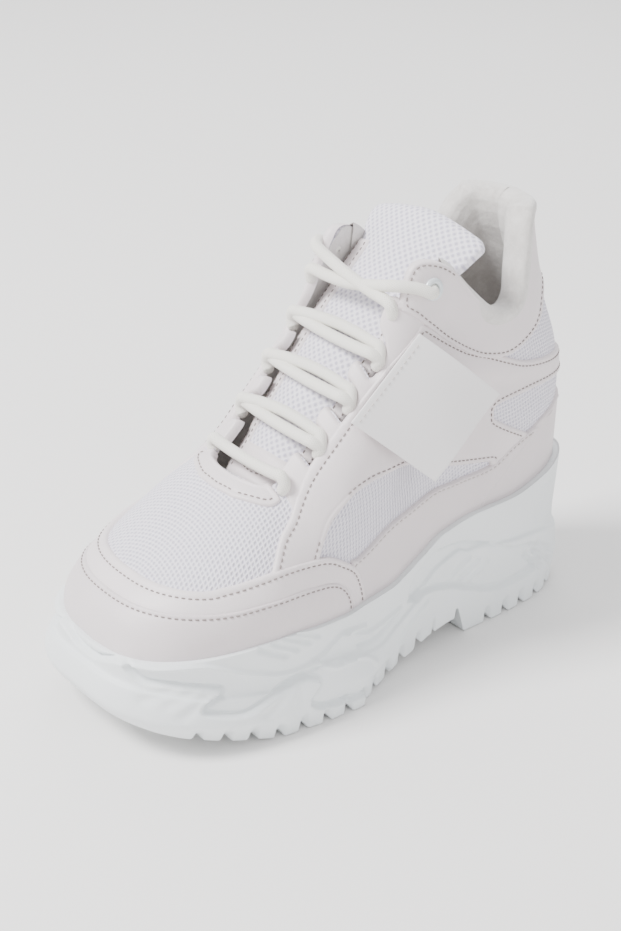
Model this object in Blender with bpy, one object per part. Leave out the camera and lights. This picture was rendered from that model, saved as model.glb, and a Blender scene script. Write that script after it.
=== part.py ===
"""Hidden wedge sneaker for the left foot.

The shoe is modelled toe to -Y and outer (lateral) side to +X, standing on its sole at z = 0.
A table of cross-sections gives the last. The upper, its overlays, the tongue, the insole and
the sole all take their surfaces from it, so they follow the same named sizes.
"""
import bpy
import bmesh
import math
from mathutils import Vector

MM = 0.001

# Driving sizes
UPPER_LENGTH = 261 * MM
BALL_WIDTH = 95.5 * MM
HEEL_WIDTH = 71.7 * MM
FORE_EDGE = 44.5 * MM
HEEL_EDGE = 70 * MM
INSTEP_RISE = 113 * MM
TOE_BUMPER = 8.5 * MM
BALL_FLARE = 11 * MM
HEEL_FLARE = 8.5 * MM
TOE_SPRING = 17 * MM
ARCH_RISE = 10 * MM
HEEL_BEVEL = 7 * MM
COLLAR_BACK = 203 * MM
THROAT_WIDTH = 40 * MM
WALL = 2.4 * MM
LEATHER = 1.5 * MM
CLEARANCE = 0.35 * MM
CUP_DEPTH = 6 * MM
RIM = 3 * MM
INSOLE_THICKNESS = 5 * MM
WEDGE_RISE = 16 * MM
TONGUE_THICKNESS = 7 * MM
LACE_DIAMETER = 5.6 * MM
EYELET_RADIUS = 4.6 * MM
EYELET_HOLE = 2.4 * MM
EYELET_HEIGHT = 1.2 * MM
LABEL_WIDTH = 40 * MM
LABEL_LENGTH = 46 * MM
LABEL_THICKNESS = 1.2 * MM
LABEL_LIFT = math.radians(24)
LABEL_SKEW = math.radians(7)
LABEL_SEAT = 37.5 * MM
LUG_PITCH = 12.4 * MM
LUG_GROOVE = 4.4 * MM
LUG_DEPTH = 5 * MM
LUG_REACH = 11 * MM

# How finely the forms are faceted
STATIONS = 25
SIDE_ROWS = 8

SHAFT_RISE = 0.557

# The last, a row for each cross-section from toe to heel.
# y: share of UPPER_LENGTH from the toe. lateral, medial: half widths as shares of half the width
# there. ball: how much of that width is BALL_WIDTH, the rest being HEEL_WIDTH. edge: share of
# the way from FORE_EDGE to HEEL_EDGE. rise: height over the edge as a share of INSTEP_RISE, or
# in the shaft of SHAFT_RISE, itself a share of COLLAR_BACK.
# round_lat, round_med: the power of the arch, 2 for an ellipse and more for upright walls.
LAST = {
    "columns": ("y", "lateral", "medial", "ball", "edge", "rise", "round_lat", "round_med"),
    "rows": (
        (0.000, 0.000, 0.000, 1.0, -0.06, 0.005, 2.0, 2.0),
        (0.004, 0.270, 0.340, 1.0, -0.05, 0.055, 2.1, 2.2),
        (0.013, 0.440, 0.530, 1.0, -0.03, 0.100, 2.2, 2.4),
        (0.033, 0.600, 0.720, 1.0, -0.02, 0.145, 2.25, 2.5),
        (0.067, 0.754, 0.845, 1.0, 0.00, 0.200, 2.3, 2.6),
        (0.117, 0.880, 0.940, 1.0, 0.02, 0.275, 2.3, 2.7),
        (0.178, 0.974, 0.995, 1.0, 0.06, 0.362, 2.3, 2.7),
        (0.236, 1.016, 1.010, 1.0, 0.08, 0.442, 2.3, 2.7),
        (0.301, 1.005, 0.975, 1.0, 0.02, 0.540, 2.4, 2.7),
        (0.362, 0.967, 0.925, 1.0, -0.04, 0.686, 2.9, 3.0),
        (0.420, 0.995, 0.925, 0.7, -0.02, 0.840, 3.6, 3.6),
        (0.481, 1.030, 0.940, 0.4, 0.02, 1.030, 4.4, 4.4),
        (0.554, 1.060, 0.950, 0.15, 0.33, 1.345, 5.0, 5.0),
        (0.619, 1.077, 0.990, 0.0, 0.65, 1.450, 5.5, 5.5),
        (0.695, 1.043, 0.990, 0.0, 0.76, 1.480, 6.0, 6.0),
        (0.791, 1.021, 0.990, 0.0, 0.77, 1.480, 6.0, 6.0),
        (0.879, 0.935, 0.935, 0.0, 0.90, 1.480, 6.0, 6.0),
        (0.941, 0.753, 0.753, 0.0, 0.98, 1.480, 6.0, 6.0),
        (0.983, 0.460, 0.460, 0.0, 1.00, 1.480, 6.0, 6.0),
        (1.000, 0.000, 0.000, 0.0, 1.00, 1.480, 6.0, 6.0),
    ),
}

# The back of the heel and the sides of the shaft, by height.
# z: share of COLLAR_BACK. back: how far the heel end moves back, as a share of UPPER_LENGTH.
# narrow: width of the shaft as a share of its width at the edge.
SHAFT = {
    "columns": ("z", "back", "narrow"),
    "rows": (
        (0.20, 0.000, 1.00),
        (0.35, 0.000, 1.00),
        (0.47, 0.004, 0.99),
        (0.62, -0.013, 0.965),
        (0.74, -0.052, 0.93),
        (0.86, -0.090, 0.89),
        (1.00, -0.112, 0.86),
        (1.15, -0.122, 0.84),
    ),
}

# The sole wall, a row for each place along the last.
# at: row number of LAST. flare_lat, flare_med: outward reach of the bumper, as shares of
# TOE_BUMPER, BALL_FLARE or HEEL_FLARE. toe, heel: how much of the flare is the toe's or the
# heel's, the rest being the ball's. tuck: how far the tread edge lies inside the bumper, as a
# share of the flare. spring, arch, bevel: height of the tread over the floor as shares of
# TOE_SPRING, ARCH_RISE and HEEL_BEVEL. ledge: height of the step between bumper and band.
SOLE = {
    "columns": ("at", "flare_lat", "flare_med", "toe", "heel", "tuck", "spring", "arch", "bevel",
                "ledge"),
    "rows": (
        (0.0, 0.92, 0.92, 1.0, 0.0, 0.60, 1.00, 0.0, 0.0, 0.66),
        (2.0, 0.95, 1.00, 1.0, 0.0, 0.70, 0.85, 0.0, 0.0, 0.62),
        (3.4, 1.00, 1.00, 0.9, 0.0, 0.80, 0.62, 0.0, 0.0, 0.58),
        (4.6, 0.95, 0.95, 0.7, 0.0, 0.80, 0.38, 0.0, 0.0, 0.52),
        (5.8, 0.80, 0.80, 0.3, 0.0, 0.65, 0.15, 0.0, 0.0, 0.48),
        (7.0, 0.75, 0.72, 0.0, 0.0, 0.35, 0.00, 0.0, 0.0, 0.46),
        (8.2, 0.95, 0.72, 0.0, 0.0, 0.12, 0.00, 0.0, 0.0, 0.58),
        (9.4, 1.15, 0.72, 0.0, 0.0, 0.10, 0.00, 0.0, 0.0, 0.50),
        (10.6, 0.85, 0.62, 0.0, 0.1, 0.15, 0.00, 0.1, 0.0, 0.40),
        (11.6, 0.55, 0.45, 0.0, 0.4, 0.20, 0.00, 0.3, 0.0, 0.50),
        (12.8, 0.50, 0.45, 0.0, 0.8, 0.25, 0.00, 0.8, 0.0, 0.62),
        (13.6, 0.50, 0.50, 0.0, 1.0, 0.25, 0.00, 1.0, 0.0, 0.66),
        (14.0, 0.50, 0.50, 0.0, 1.0, 0.22, 0.00, 0.0, 0.0, 0.66),
        (15.2, 0.55, 0.60, 0.0, 1.0, 0.18, 0.00, 0.0, 0.0, 0.60),
        (16.4, 0.75, 0.80, 0.0, 1.0, 0.15, 0.00, 0.0, 0.0, 0.50),
        (17.4, 0.95, 0.95, 0.0, 1.0, 0.18, 0.00, 0.0, 0.2, 0.40),
        (19.0, 1.00, 1.00, 0.0, 1.0, 0.30, 0.00, 0.0, 1.0, 0.36),
    ),
}

# The tongue, a row for each place up the throat.
# y: share of UPPER_LENGTH from the toe. z: middle of the outer face, share of COLLAR_BACK.
# half: half width, share of HEEL_WIDTH. crown: how much lower the edges lie, share of
# TONGUE_THICKNESS.
TONGUE = {
    "columns": ("y", "z", "half", "crown"),
    "rows": (
        (0.285, 0.470, 0.250, 0.90),
        (0.318, 0.500, 0.290, 0.95),
        (0.362, 0.563, 0.320, 0.95),
        (0.420, 0.650, 0.345, 0.85),
        (0.481, 0.742, 0.365, 0.75),
        (0.543, 0.822, 0.385, 0.65),
        (0.600, 0.894, 0.385, 0.60),
        (0.640, 0.948, 0.405, 0.60),
        (0.668, 0.978, 0.465, 0.60),
        (0.685, 0.990, 0.440, 0.70),
    ),
}

# Side view outlines, as shares of UPPER_LENGTH behind the toe and of COLLAR_BACK up.
OUTER_SEAM = ((-0.10, 0.302), (0.076, 0.303), (0.144, 0.305), (0.220, 0.313), (0.290, 0.313),
              (0.335, 0.306), (0.368, 0.285), (0.389, 0.240), (0.393, 0.180))
INNER_SEAM = ((-0.10, 0.337), (0.100, 0.338), (0.153, 0.348), (0.232, 0.366), (0.290, 0.368),
              (0.335, 0.362), (0.366, 0.343), (0.400, 0.308), (0.423, 0.246), (0.431, 0.180))
QUARTER_FRONT = ((0.228, 0.366), (0.256, 0.415), (0.286, 0.447), (0.303, 0.472), (0.335, 0.522),
                 (0.366, 0.567), (0.420, 0.643), (0.481, 0.724), (0.546, 0.802))
QUARTER_TOP = ((0.556, 0.797), (0.603, 0.751), (0.665, 0.706), (0.726, 0.675), (0.795, 0.651),
               (0.898, 0.626), (1.100, 0.590))
HEEL_WINDOW = ((1.100, 0.530), (0.898, 0.565), (0.755, 0.563), (0.740, 0.543), (0.750, 0.522),
               (0.828, 0.466))
QUARTER_LOW = ((0.745, 0.422), (0.634, 0.453), (0.534, 0.498), (0.466, 0.500), (0.408, 0.487),
               (0.372, 0.457), (0.346, 0.424), (0.319, 0.368))
FOXING_TOP = ((0.388, 0.335), (0.404, 0.330), (0.439, 0.347), (0.479, 0.371), (0.531, 0.389),
              (0.592, 0.409), (0.653, 0.411), (0.745, 0.414), (0.828, 0.458), (1.100, 0.522))
COUNTER_SEAM = ((0.722, 0.180), (0.728, 0.313), (0.759, 0.353), (0.795, 0.394), (0.833, 0.427),
                (0.900, 0.470), (1.100, 0.505))
COLLAR_SEAM = ((0.508, 0.842), (0.531, 0.836), (0.564, 0.800), (0.619, 0.746), (0.684, 0.698),
               (0.726, 0.681), (0.761, 0.675), (0.795, 0.686), (0.837, 0.717), (0.866, 0.752),
               (0.920, 0.860), (1.100, 0.940))
COLLAR_LINE = ((0.440, 0.826), (0.500, 0.846), (0.518, 0.858), (0.530, 0.900), (0.542, 0.931),
               (0.561, 0.943), (0.592, 0.936), (0.626, 0.911), (0.669, 0.855), (0.711, 0.803),
               (0.745, 0.785), (0.776, 0.789), (0.795, 0.815), (0.808, 0.870), (0.820, 0.930),
               (0.840, 0.972), (0.870, 0.985), (1.100, 0.985))

# Half width of the throat, in plan: shares of UPPER_LENGTH and of half THROAT_WIDTH.
THROAT = ((0.267, 0.20), (0.271, 0.55), (0.283, 0.92), (0.310, 1.00), (0.380, 1.02),
          (0.440, 1.10), (0.500, 1.25), (0.600, 1.35))
# Plan of the lip across the foot of the throat, one half, as shares of the same sizes.
LIP = ((0.232, 0.20), (0.238, 0.65), (0.256, 1.12), (0.272, 1.34), (0.284, 1.30))

# Lace rows: share of UPPER_LENGTH and of COLLAR_BACK at each row's slots, half width as a share
# of THROAT_WIDTH, height of the middle, and how far the strands bow as a share of LACE_DIAMETER.
LACE_ROWS = (
    {"y": 0.296, "z": 0.528, "half": 0.625, "middle": 0.512, "bow": 0.0},
    {"y": 0.362, "z": 0.592, "half": 0.675, "middle": 0.592, "bow": 0.57},
    {"y": 0.420, "z": 0.678, "half": 0.700, "middle": 0.677, "bow": 0.57},
    {"y": 0.475, "z": 0.762, "half": 0.725, "middle": 0.760, "bow": 0.57},
)
TOP_SLOT = (0.508, 0.862)
NOTCH_HALF = 4.5 * MM
NOTCH_SPARE = 0.8 * MM
SLOT_SHIFT = 1.5 * MM
EYELET_PLACE = (0.573, 0.882)
# Ends of the seam that holds the label.
LABEL_SEAM = ((0.413, 0.627), (0.518, 0.746))


def smooth(table, column, at, key=None):
    """Value of a table's column at a place, on a curve through its rows without overshoot."""
    index = table["columns"].index(column)
    rows = table["rows"]
    if key is None:
        places = [float(i) for i in range(len(rows))]
    else:
        key_index = table["columns"].index(key)
        places = [row[key_index] for row in rows]
    values = [row[index] for row in rows]
    at = min(max(at, places[0]), places[-1])
    k = 0
    while k < len(places) - 2 and at > places[k + 1]:
        k += 1
    steps = [places[i + 1] - places[i] for i in range(len(places) - 1)]
    rises = [(values[i + 1] - values[i]) / steps[i] for i in range(len(steps))]

    def slope(i):
        if i == 0:
            return rises[0]
        if i == len(steps):
            return rises[-1]
        if rises[i - 1] * rises[i] <= 0:
            return 0.0
        a = 2 * steps[i] + steps[i - 1]
        b = steps[i] + 2 * steps[i - 1]
        return (a + b) / (a / rises[i - 1] + b / rises[i])

    h = steps[k]
    t = (at - places[k]) / h
    lift = (1 - t) * (1 - t) * ((1 + 2 * t) * values[k] + t * h * slope(k))
    return lift + t * t * ((3 - 2 * t) * values[k + 1] - (1 - t) * h * slope(k + 1))


def ease(share):
    """Smooth ramp from 0 to 1 as the share goes from 0 to 1."""
    share = min(max(share, 0.0), 1.0)
    return share * share * (3 - 2 * share)


def edge_height(at):
    """Height of the line where the upper leaves the sole."""
    return FORE_EDGE + smooth(LAST, "edge", at) * (HEEL_EDGE - FORE_EDGE)


SECTION_STEPS = 40
SECTIONS = {}


def section(at, side):
    """Half a cross-section of the last from edge to ridge, with the length run so far."""
    key = (round(at, 6), side)
    if key in SECTIONS:
        return SECTIONS[key]
    along = smooth(LAST, "y", at)
    ball = smooth(LAST, "ball", at)
    half = (ball * BALL_WIDTH + (1 - ball) * HEEL_WIDTH) / 2
    half *= smooth(LAST, "lateral" if side > 0 else "medial", at)
    low = edge_height(at)
    shaft_rise = SHAFT_RISE * COLLAR_BACK
    rise = INSTEP_RISE + (shaft_rise - INSTEP_RISE) * ease((along - 0.45) / 0.15)
    rise *= smooth(LAST, "rise", at)
    power = 2 / smooth(LAST, "round_lat" if side > 0 else "round_med", at)
    shaft = ease((along - 0.33) / 0.2)
    heel = ease((along - 0.54) / 0.38)
    points = []
    for i in range(SECTION_STEPS + 1):
        angle = math.pi / 2 * i / SECTION_STEPS
        z = low + rise * math.sin(angle) ** power
        x = side * half * max(math.cos(angle), 0.0) ** power
        share = z / COLLAR_BACK
        x *= 1 - shaft * (1 - smooth(SHAFT, "narrow", share, "z"))
        y = TOE_BUMPER + (along + heel * smooth(SHAFT, "back", share, "z")) * UPPER_LENGTH
        points.append(Vector((x, y, z)))
    runs = [0.0]
    for a, b in zip(points, points[1:]):
        runs.append(runs[-1] + (b - a).length)
    SECTIONS[key] = (points, runs)
    return SECTIONS[key]


def last(at, side, up):
    """Point on the last: up is the share of the section's length from edge to ridge."""
    points, runs = section(at, side)
    goal = min(max(up, 0.0), 1.0) * runs[-1]
    k = 0
    while k < len(runs) - 2 and goal > runs[k + 1]:
        k += 1
    span = runs[k + 1] - runs[k]
    t = (goal - runs[k]) / span if span > 0 else 0.0
    return points[k].lerp(points[k + 1], t)


END = len(LAST["rows"]) - 1


def normal(at, side, up):
    """Outward direction of the last's surface."""
    if at < 0.02:
        return Vector((0, -1, 0))
    if at > END - 0.02:
        return Vector((0, 1, 2 * ease(up * 10 - 9))).normalized()
    step = 0.06
    along = last(min(at + step, END), side, up) - last(max(at - step, 0), side, up)
    rise = last(at, side, min(up + step, 1)) - last(at, side, max(up - step, 0))
    if up > 0.995:
        rise.z = 0
    if up < 0.005:
        rise.x = 0
    found = along.cross(rise) * side
    if up > 0.995:
        found.x = 0
    return found.normalized()


def skin(at, side, up, offset):
    """Point at a distance outside the last's surface; up below 0 is that far under the edge."""
    if up < 0:
        return skin(at, side, 0.0, offset) + Vector((0, 0, up))
    return last(at, side, up) + normal(at, side, up) * offset


def stations(first, final, count):
    """Evenly spaced places along the last's rows."""
    return [first + (final - first) * i / count for i in range(count + 1)]


def ring(drop, low=0.0, high=1.0, rows=SIDE_ROWS):
    """Places round a cross-section from the lateral edge over the ridge to the medial edge."""
    ups = [low + (high - low) * i / rows for i in range(rows + 1)]
    if drop > 0:
        ups.insert(0, -drop)
    lateral = [(1, up) for up in ups]
    medial = [(-1, up) for up in reversed(ups)]
    return lateral + (medial[1:] if high == 1.0 else medial)


def finish_mesh(name, points, faces, smooth_faces=True):
    """A closed mesh object from points and faces, with its faces pointing out."""
    shape = bmesh.new()
    made = [shape.verts.new(point) for point in points]
    for face in faces:
        corners = []
        for index in face:
            if made[index] not in corners:
                corners.append(made[index])
        if len(corners) > 2:
            shape.faces.new(corners)
    bmesh.ops.remove_doubles(shape, verts=shape.verts, dist=0.02 * MM)
    bmesh.ops.dissolve_degenerate(shape, edges=shape.edges, dist=0.01 * MM)
    bmesh.ops.recalc_face_normals(shape, faces=shape.faces)
    if shape.calc_volume(signed=True) < 0:
        bmesh.ops.reverse_faces(shape, faces=shape.faces)
    mesh = bpy.data.meshes.new(name)
    shape.to_mesh(mesh)
    shape.free()
    if smooth_faces:
        mesh.shade_smooth()
        mesh.set_sharp_from_angle(angle=math.radians(35))
    item = bpy.data.objects.new(name, mesh)
    bpy.context.scene.collection.objects.link(item)
    return item


def grid_faces(rows, columns, start=0, flip=False):
    """Triangles of a grid of points stored row by row, split the same way in every layer."""
    faces = []
    for i in range(rows - 1):
        for j in range(columns - 1):
            a = start + i * columns + j
            b = a + columns
            for corners in ([a, a + 1, b + 1], [a, b + 1, b]):
                faces.append(corners[::-1] if flip else corners)
    return faces


def form(name, offset, drop):
    """The whole last as a closed solid, at an offset and carried down below the edge."""
    around = ring(drop)
    places = stations(0, END, STATIONS)
    points = [skin(at, side, up, offset) for at in places for side, up in around]
    columns = len(around)
    faces = grid_faces(len(places), columns)
    for i in range(len(places) - 1):
        a = i * columns
        faces.append([a, a + columns, a + 2 * columns - 1, a + columns - 1])
    return finish_mesh(name, points, faces)


def prism(name, outline, low, high, plane):
    """An outline pushed straight along X from low to high (plane "side") or along Z ("plan")."""
    def place(a, b, depth):
        return Vector((depth, a, b)) if plane == "side" else Vector((a, b, depth))
    count = len(outline)
    points = [place(a, b, low) for a, b in outline] + [place(a, b, high) for a, b in outline]
    faces = [list(range(count)), list(range(2 * count - 1, count - 1, -1))]
    for i in range(count):
        k = (i + 1) % count
        faces.append([i, k, k + count, i + count])
    return finish_mesh(name, points, faces, False)


def combine(target, tool, operation, crossing=False):
    """Cut, keep or join with another solid, which is then removed."""
    change = target.modifiers.new(operation, "BOOLEAN")
    change.operation = operation
    change.solver = "EXACT"
    change.use_self = crossing
    change.object = tool
    bpy.context.view_layer.update()
    graph = bpy.context.evaluated_depsgraph_get()
    result = bpy.data.meshes.new_from_object(target.evaluated_get(graph))
    target.modifiers.clear()
    target.data = result
    bpy.data.objects.remove(tool, do_unlink=True)
    return target


def side_outline(shares):
    """Side-view points from shares of UPPER_LENGTH behind the toe and of COLLAR_BACK up."""
    return [(TOE_BUMPER + y * UPPER_LENGTH, z * COLLAR_BACK) for y, z in shares]


def inset(outline, distance):
    """An outline moved inwards by a distance, so that neighbouring pieces keep a gap."""
    area = sum(a[0] * b[1] - b[0] * a[1] for a, b in zip(outline, outline[1:] + outline[:1]))
    turn = 1 if area > 0 else -1
    moved = []
    for i, point in enumerate(outline):
        before, after = outline[i - 1], outline[(i + 1) % len(outline)]
        first = Vector((point[0] - before[0], point[1] - before[1])).normalized()
        second = Vector((after[0] - point[0], after[1] - point[1])).normalized()
        inward = (Vector((-first.y, first.x)) + Vector((-second.y, second.x))) * turn
        inward = inward.normalized()
        spread = max(inward.dot(Vector((-second.y, second.x)) * turn), 0.4)
        moved.append((point[0] + inward.x * distance / spread,
                      point[1] + inward.y * distance / spread))
    return moved


COVER_LOW = CLEARANCE
COVER_HIGH = CLEARANCE + LEATHER
SEAT = COVER_HIGH + 2 * CLEARANCE
COVER_DROP = 2.5 * MM
WIDE = 90 * MM


PLACES = stations(0, END, STATIONS)
UPS = stations(0, 1, SIDE_ROWS)


def span(values, low, high):
    """The values from the last one at or under low to the first one at or over high."""
    first = max(i for i, value in enumerate(values) if value <= low)
    final = min(i for i, value in enumerate(values) if value >= high)
    return values[first:final + 1]


def toe_grid(final):
    """Layer places over the toe and both sides, on the upper's own facets."""
    around = ring(COVER_DROP)
    return [[(at, side, up) for side, up in around] for at in span(PLACES, 0, final)]


def side_grid(side, first, final, low, high, drop=0.0):
    """Layer places over one side only."""
    ups = ([-drop] if drop else []) + span(UPS, low, high)
    return [[(at, side, up) for up in ups] for at in span(PLACES, first, final)]


def heel_grid(first, low, high, drop=0.0):
    """Layer places from one side round the back of the heel to the other."""
    lateral = side_grid(1, first, END, low, high, drop)
    medial = side_grid(-1, first, END, low, high, drop)
    return lateral + medial[-2::-1]


def layer(name, places, low=COVER_LOW, high=COVER_HIGH, pole=False):
    """A closed layer over the last between two offsets; a pole is a first row that is a tip."""
    points = [skin(at, side, up, low) for row in places for at, side, up in row]
    points += [skin(at, side, up, high) for row in places for at, side, up in row]
    rows, columns = len(places), len(places[0])
    count = rows * columns
    faces = grid_faces(rows, columns) + grid_faces(rows, columns, count, True)
    for i in range(rows - 1):
        for j in (0, columns - 1):
            a, b = i * columns + j, (i + 1) * columns + j
            faces.append([a, b, b + count, a + count])
    for i in ((rows - 1,) if pole else (0, rows - 1)):
        for j in range(columns - 1):
            a, b = i * columns + j, i * columns + j + 1
            faces.append([a, b, b + count, a + count])
    return finish_mesh(name, points, faces)


def panel(name, places, outline, low_x, high_x, pole=False):
    """A leather panel: the layer over the last kept inside a side-view outline."""
    piece = layer(name, places, pole=pole)
    shape = inset(side_outline(outline), CLEARANCE / 2)
    return combine(piece, prism(name + "_tool", shape, low_x, high_x, "side"), "INTERSECT")


def throat_outline(widen, notches=False):
    """Plan outline of the throat, with a notch at each lace row where asked for."""
    sides = {}
    for side in (1, -1):
        half = []
        for y, share in THROAT:
            half.append((TOE_BUMPER + y * UPPER_LENGTH, share * THROAT_WIDTH / 2 + widen))
        for row in LACE_ROWS[1:] if notches else ():
            middle = TOE_BUMPER + row["y"] * UPPER_LENGTH
            reach = row["half"] * THROAT_WIDTH + side * SLOT_SHIFT + NOTCH_SPARE + max(widen, 0.0)
            inner = THROAT_WIDTH / 2 * 1.05 + widen
            half += [(middle - NOTCH_HALF, inner), (middle - NOTCH_HALF + 0.1 * MM, reach),
                     (middle + NOTCH_HALF - 0.1 * MM, reach), (middle + NOTCH_HALF, inner)]
        half.sort()
        sides[side] = [(side * x, y) for y, x in half]
    return sides[1] + sides[-1][::-1]


def upper():
    """One hollow wall, open at the throat, the collar and underneath."""
    shell = form("upper", 0.0, CUP_DEPTH - 3 * CLEARANCE)
    combine(shell, form("upper_inside", -WALL, CUP_DEPTH + 6 * MM), "DIFFERENCE")
    throat = prism("throat", throat_outline(CLEARANCE, True), FORE_EDGE * 1.7, COLLAR_BACK * 1.3,
                   "plan")
    combine(shell, throat, "DIFFERENCE")
    line = side_outline(COLLAR_LINE)
    line += side_outline(((1.1, 1.4), (0.44, 1.4)))
    combine(shell, prism("collar", line, -WIDE, WIDE, "side"), "DIFFERENCE")
    return shell


def toe_pieces():
    """The rand along the sole and the band above it."""
    floor = ((0.393, 0.12), (-0.10, 0.12))
    rand = panel("toe_rand", toe_grid(10.2), OUTER_SEAM + floor, -WIDE, WIDE, True)
    band_outline = INNER_SEAM + ((0.431, 0.12), (0.393, 0.12)) + tuple(reversed(OUTER_SEAM))
    band = panel("toe_band", toe_grid(11.0), band_outline, -WIDE, WIDE, True)
    return [rand, band]


def lip():
    """The gathered strip across the foot of the throat."""
    ups = span(UPS, 0.45, 1.0)
    around = [(1, up) for up in ups] + [(-1, up) for up in reversed(ups[:-1])]
    places = [[(at, side, up) for side, up in around] for at in span(PLACES, 6.6, 8.3)]
    piece = layer("throat_lip", places)
    half = [(share * THROAT_WIDTH / 2, TOE_BUMPER + y * UPPER_LENGTH) for y, share in LIP]
    outline = half + [(-x, y) for x, y in reversed(half)]
    combine(piece, prism("lip_tool", outline, FORE_EDGE, COLLAR_BACK, "plan"), "INTERSECT")
    throat = prism("lip_throat", throat_outline(-1.0 * MM), FORE_EDGE, COLLAR_BACK, "plan")
    return combine(piece, throat, "DIFFERENCE")


def eyestay(side, name):
    """The strip with lace notches between its tabs, on one side of the throat."""
    piece = layer(name, side_grid(side, 7.8, 12.4, 0.35, 1.0))
    front = ((0.308, 0.488), (0.308, 0.640), (0.440, 0.820), (0.500, 0.840), (0.527, 0.836))
    outline = inset(side_outline(front + tuple(reversed(QUARTER_FRONT[4:]))), CLEARANCE / 2)
    low, high = sorted((side * 2 * MM, side * WIDE))
    combine(piece, prism("stay_tool", outline, low, high, "side"), "INTERSECT")
    notched = prism("stay_throat", throat_outline(-1.5 * MM, True), FORE_EDGE,
                    COLLAR_BACK * 1.3, "plan")
    return combine(piece, notched, "DIFFERENCE")


def quarter(side, name):
    """The side panel behind the eyestay, notched by the heel window."""
    low, high = sorted((side * CLEARANCE, side * WIDE))
    places = side_grid(side, 6.4, END, 0.0, 0.9)
    outline = QUARTER_FRONT + QUARTER_TOP + HEEL_WINDOW + QUARTER_LOW
    return panel(name, places, outline, low, high)


def foxing(side, name):
    """The low side panel over the sole edge, rising to the back."""
    low, high = sorted((side * CLEARANCE, side * WIDE))
    places = side_grid(side, 8.8, END, 0.0, 0.4, COVER_DROP)
    floor = tuple(reversed(COUNTER_SEAM)) + ((0.722, 0.12), (0.436, 0.12), (0.431, 0.180),
                                             (0.423, 0.246), (0.400, 0.308))
    return panel(name, places, FOXING_TOP + floor, low, high)


def counter():
    """The panel round the back of the heel."""
    places = heel_grid(13.7, 0.0, 0.3, COVER_DROP)
    outline = COUNTER_SEAM + ((1.100, 0.12), (0.722, 0.12))
    return panel("heel_counter", places, outline, -WIDE, WIDE)


def collar_band():
    """The band below the collar, from one front corner round the heel to the other."""
    places = heel_grid(11.2, 0.4, 0.9)
    outline = tuple(reversed(COLLAR_SEAM)) + COLLAR_LINE[2:]
    piece = panel("collar_band", places, outline, -WIDE, WIDE)
    throat = prism("band_throat", throat_outline(0.4 * MM), FORE_EDGE, COLLAR_BACK * 1.3, "plan")
    return combine(piece, throat, "DIFFERENCE")


def plan_normal(at, side):
    """Outward direction of the edge line, level with the floor."""
    found = normal(at, side, 0.0)
    found.z = 0
    return found.normalized()


def sole_under(at):
    """Height of the tread over the floor."""
    under = smooth(SOLE, "spring", at, "at") * TOE_SPRING
    under += smooth(SOLE, "arch", at, "at") * ARCH_RISE
    return under + smooth(SOLE, "bevel", at, "at") * HEEL_BEVEL


def sole_flare(at, side):
    """Outward reach of the bumper past the rim."""
    toe, heel = smooth(SOLE, "toe", at, "at"), smooth(SOLE, "heel", at, "at")
    reach = toe * TOE_BUMPER + heel * HEEL_FLARE + (1 - toe - heel) * BALL_FLARE
    return reach * smooth(SOLE, "flare_lat" if side > 0 else "flare_med", at, "at") - SEAT


def sole_profile(at, side):
    """Points down the sole wall, from the footbed over the rim to the tread."""
    top, under = edge_height(at), sole_under(at)
    height = top - under
    flare = sole_flare(at, side)
    ledge = smooth(SOLE, "ledge", at, "at")
    tuck = smooth(SOLE, "tuck", at, "at")
    shape = (
        (SEAT, top - CUP_DEPTH),
        (SEAT, top),
        (SEAT + 0.55 * RIM, top - 0.2 * MM),
        (SEAT + 0.80 * RIM, top - 1.2 * MM),
        (SEAT + max(0.30 * flare, 0.6 * RIM), under + height * (ledge + 0.30 * (1 - ledge))),
        (SEAT + max(0.45 * flare, 0.6 * RIM), under + height * (ledge + 0.04)),
        (SEAT + max(0.45 * flare, 0.6 * RIM) + 1.8 * MM, under + height * ledge),
        (SEAT + flare, under + height * ledge * 0.62),
        (SEAT + flare * 0.96, under + height * 0.20),
        (SEAT + flare * (1 - tuck), under),
    )
    edge, out = last(at, side, 0.0), plan_normal(at, side)
    return [edge + out * reach + Vector((0, 0, z - edge.z)) for reach, z in shape]


def tread_edge():
    """The tread edge round the sole, with each place's outward direction and flare."""
    places = stations(0, END, 4 * STATIONS)
    path = [(at, 1) for at in places] + [(at, -1) for at in reversed(places[1:-1])]
    return [(sole_profile(at, side)[-1], plan_normal(at, side), at) for at, side in path]


def lug_grooves():
    """Tapered grooves spaced evenly along the tread edge, all in one cutter."""
    path = tread_edge()
    points, faces = [], []
    run, goal = 0.0, LUG_PITCH / 2
    closed = path[1:] + path[:1]
    for (a, out, at), (b, _, _) in zip(path, closed):
        run += Vector((b.x - a.x, b.y - a.y)).length
        if run < goal:
            continue
        goal += LUG_PITCH
        if 12.9 < at < 14.35:
            continue
        side = Vector((0, 0, 1)).cross(out)
        first = len(points)
        for z, wide in ((-4 * MM, 1.5), (LUG_DEPTH, 0.75)):
            for reach in (-LUG_REACH, 14 * MM):
                for way in (-1, 1):
                    corner = a + out * reach + side * way * LUG_GROOVE / 2 * wide
                    points.append(corner + Vector((0, 0, z)))
        for face in ((0, 1, 3, 2), (4, 6, 7, 5), (0, 4, 5, 1), (2, 3, 7, 6), (0, 2, 6, 4),
                     (1, 5, 7, 3)):
            faces.append([first + i for i in face])
    return finish_mesh("grooves", points, faces, False)


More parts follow.
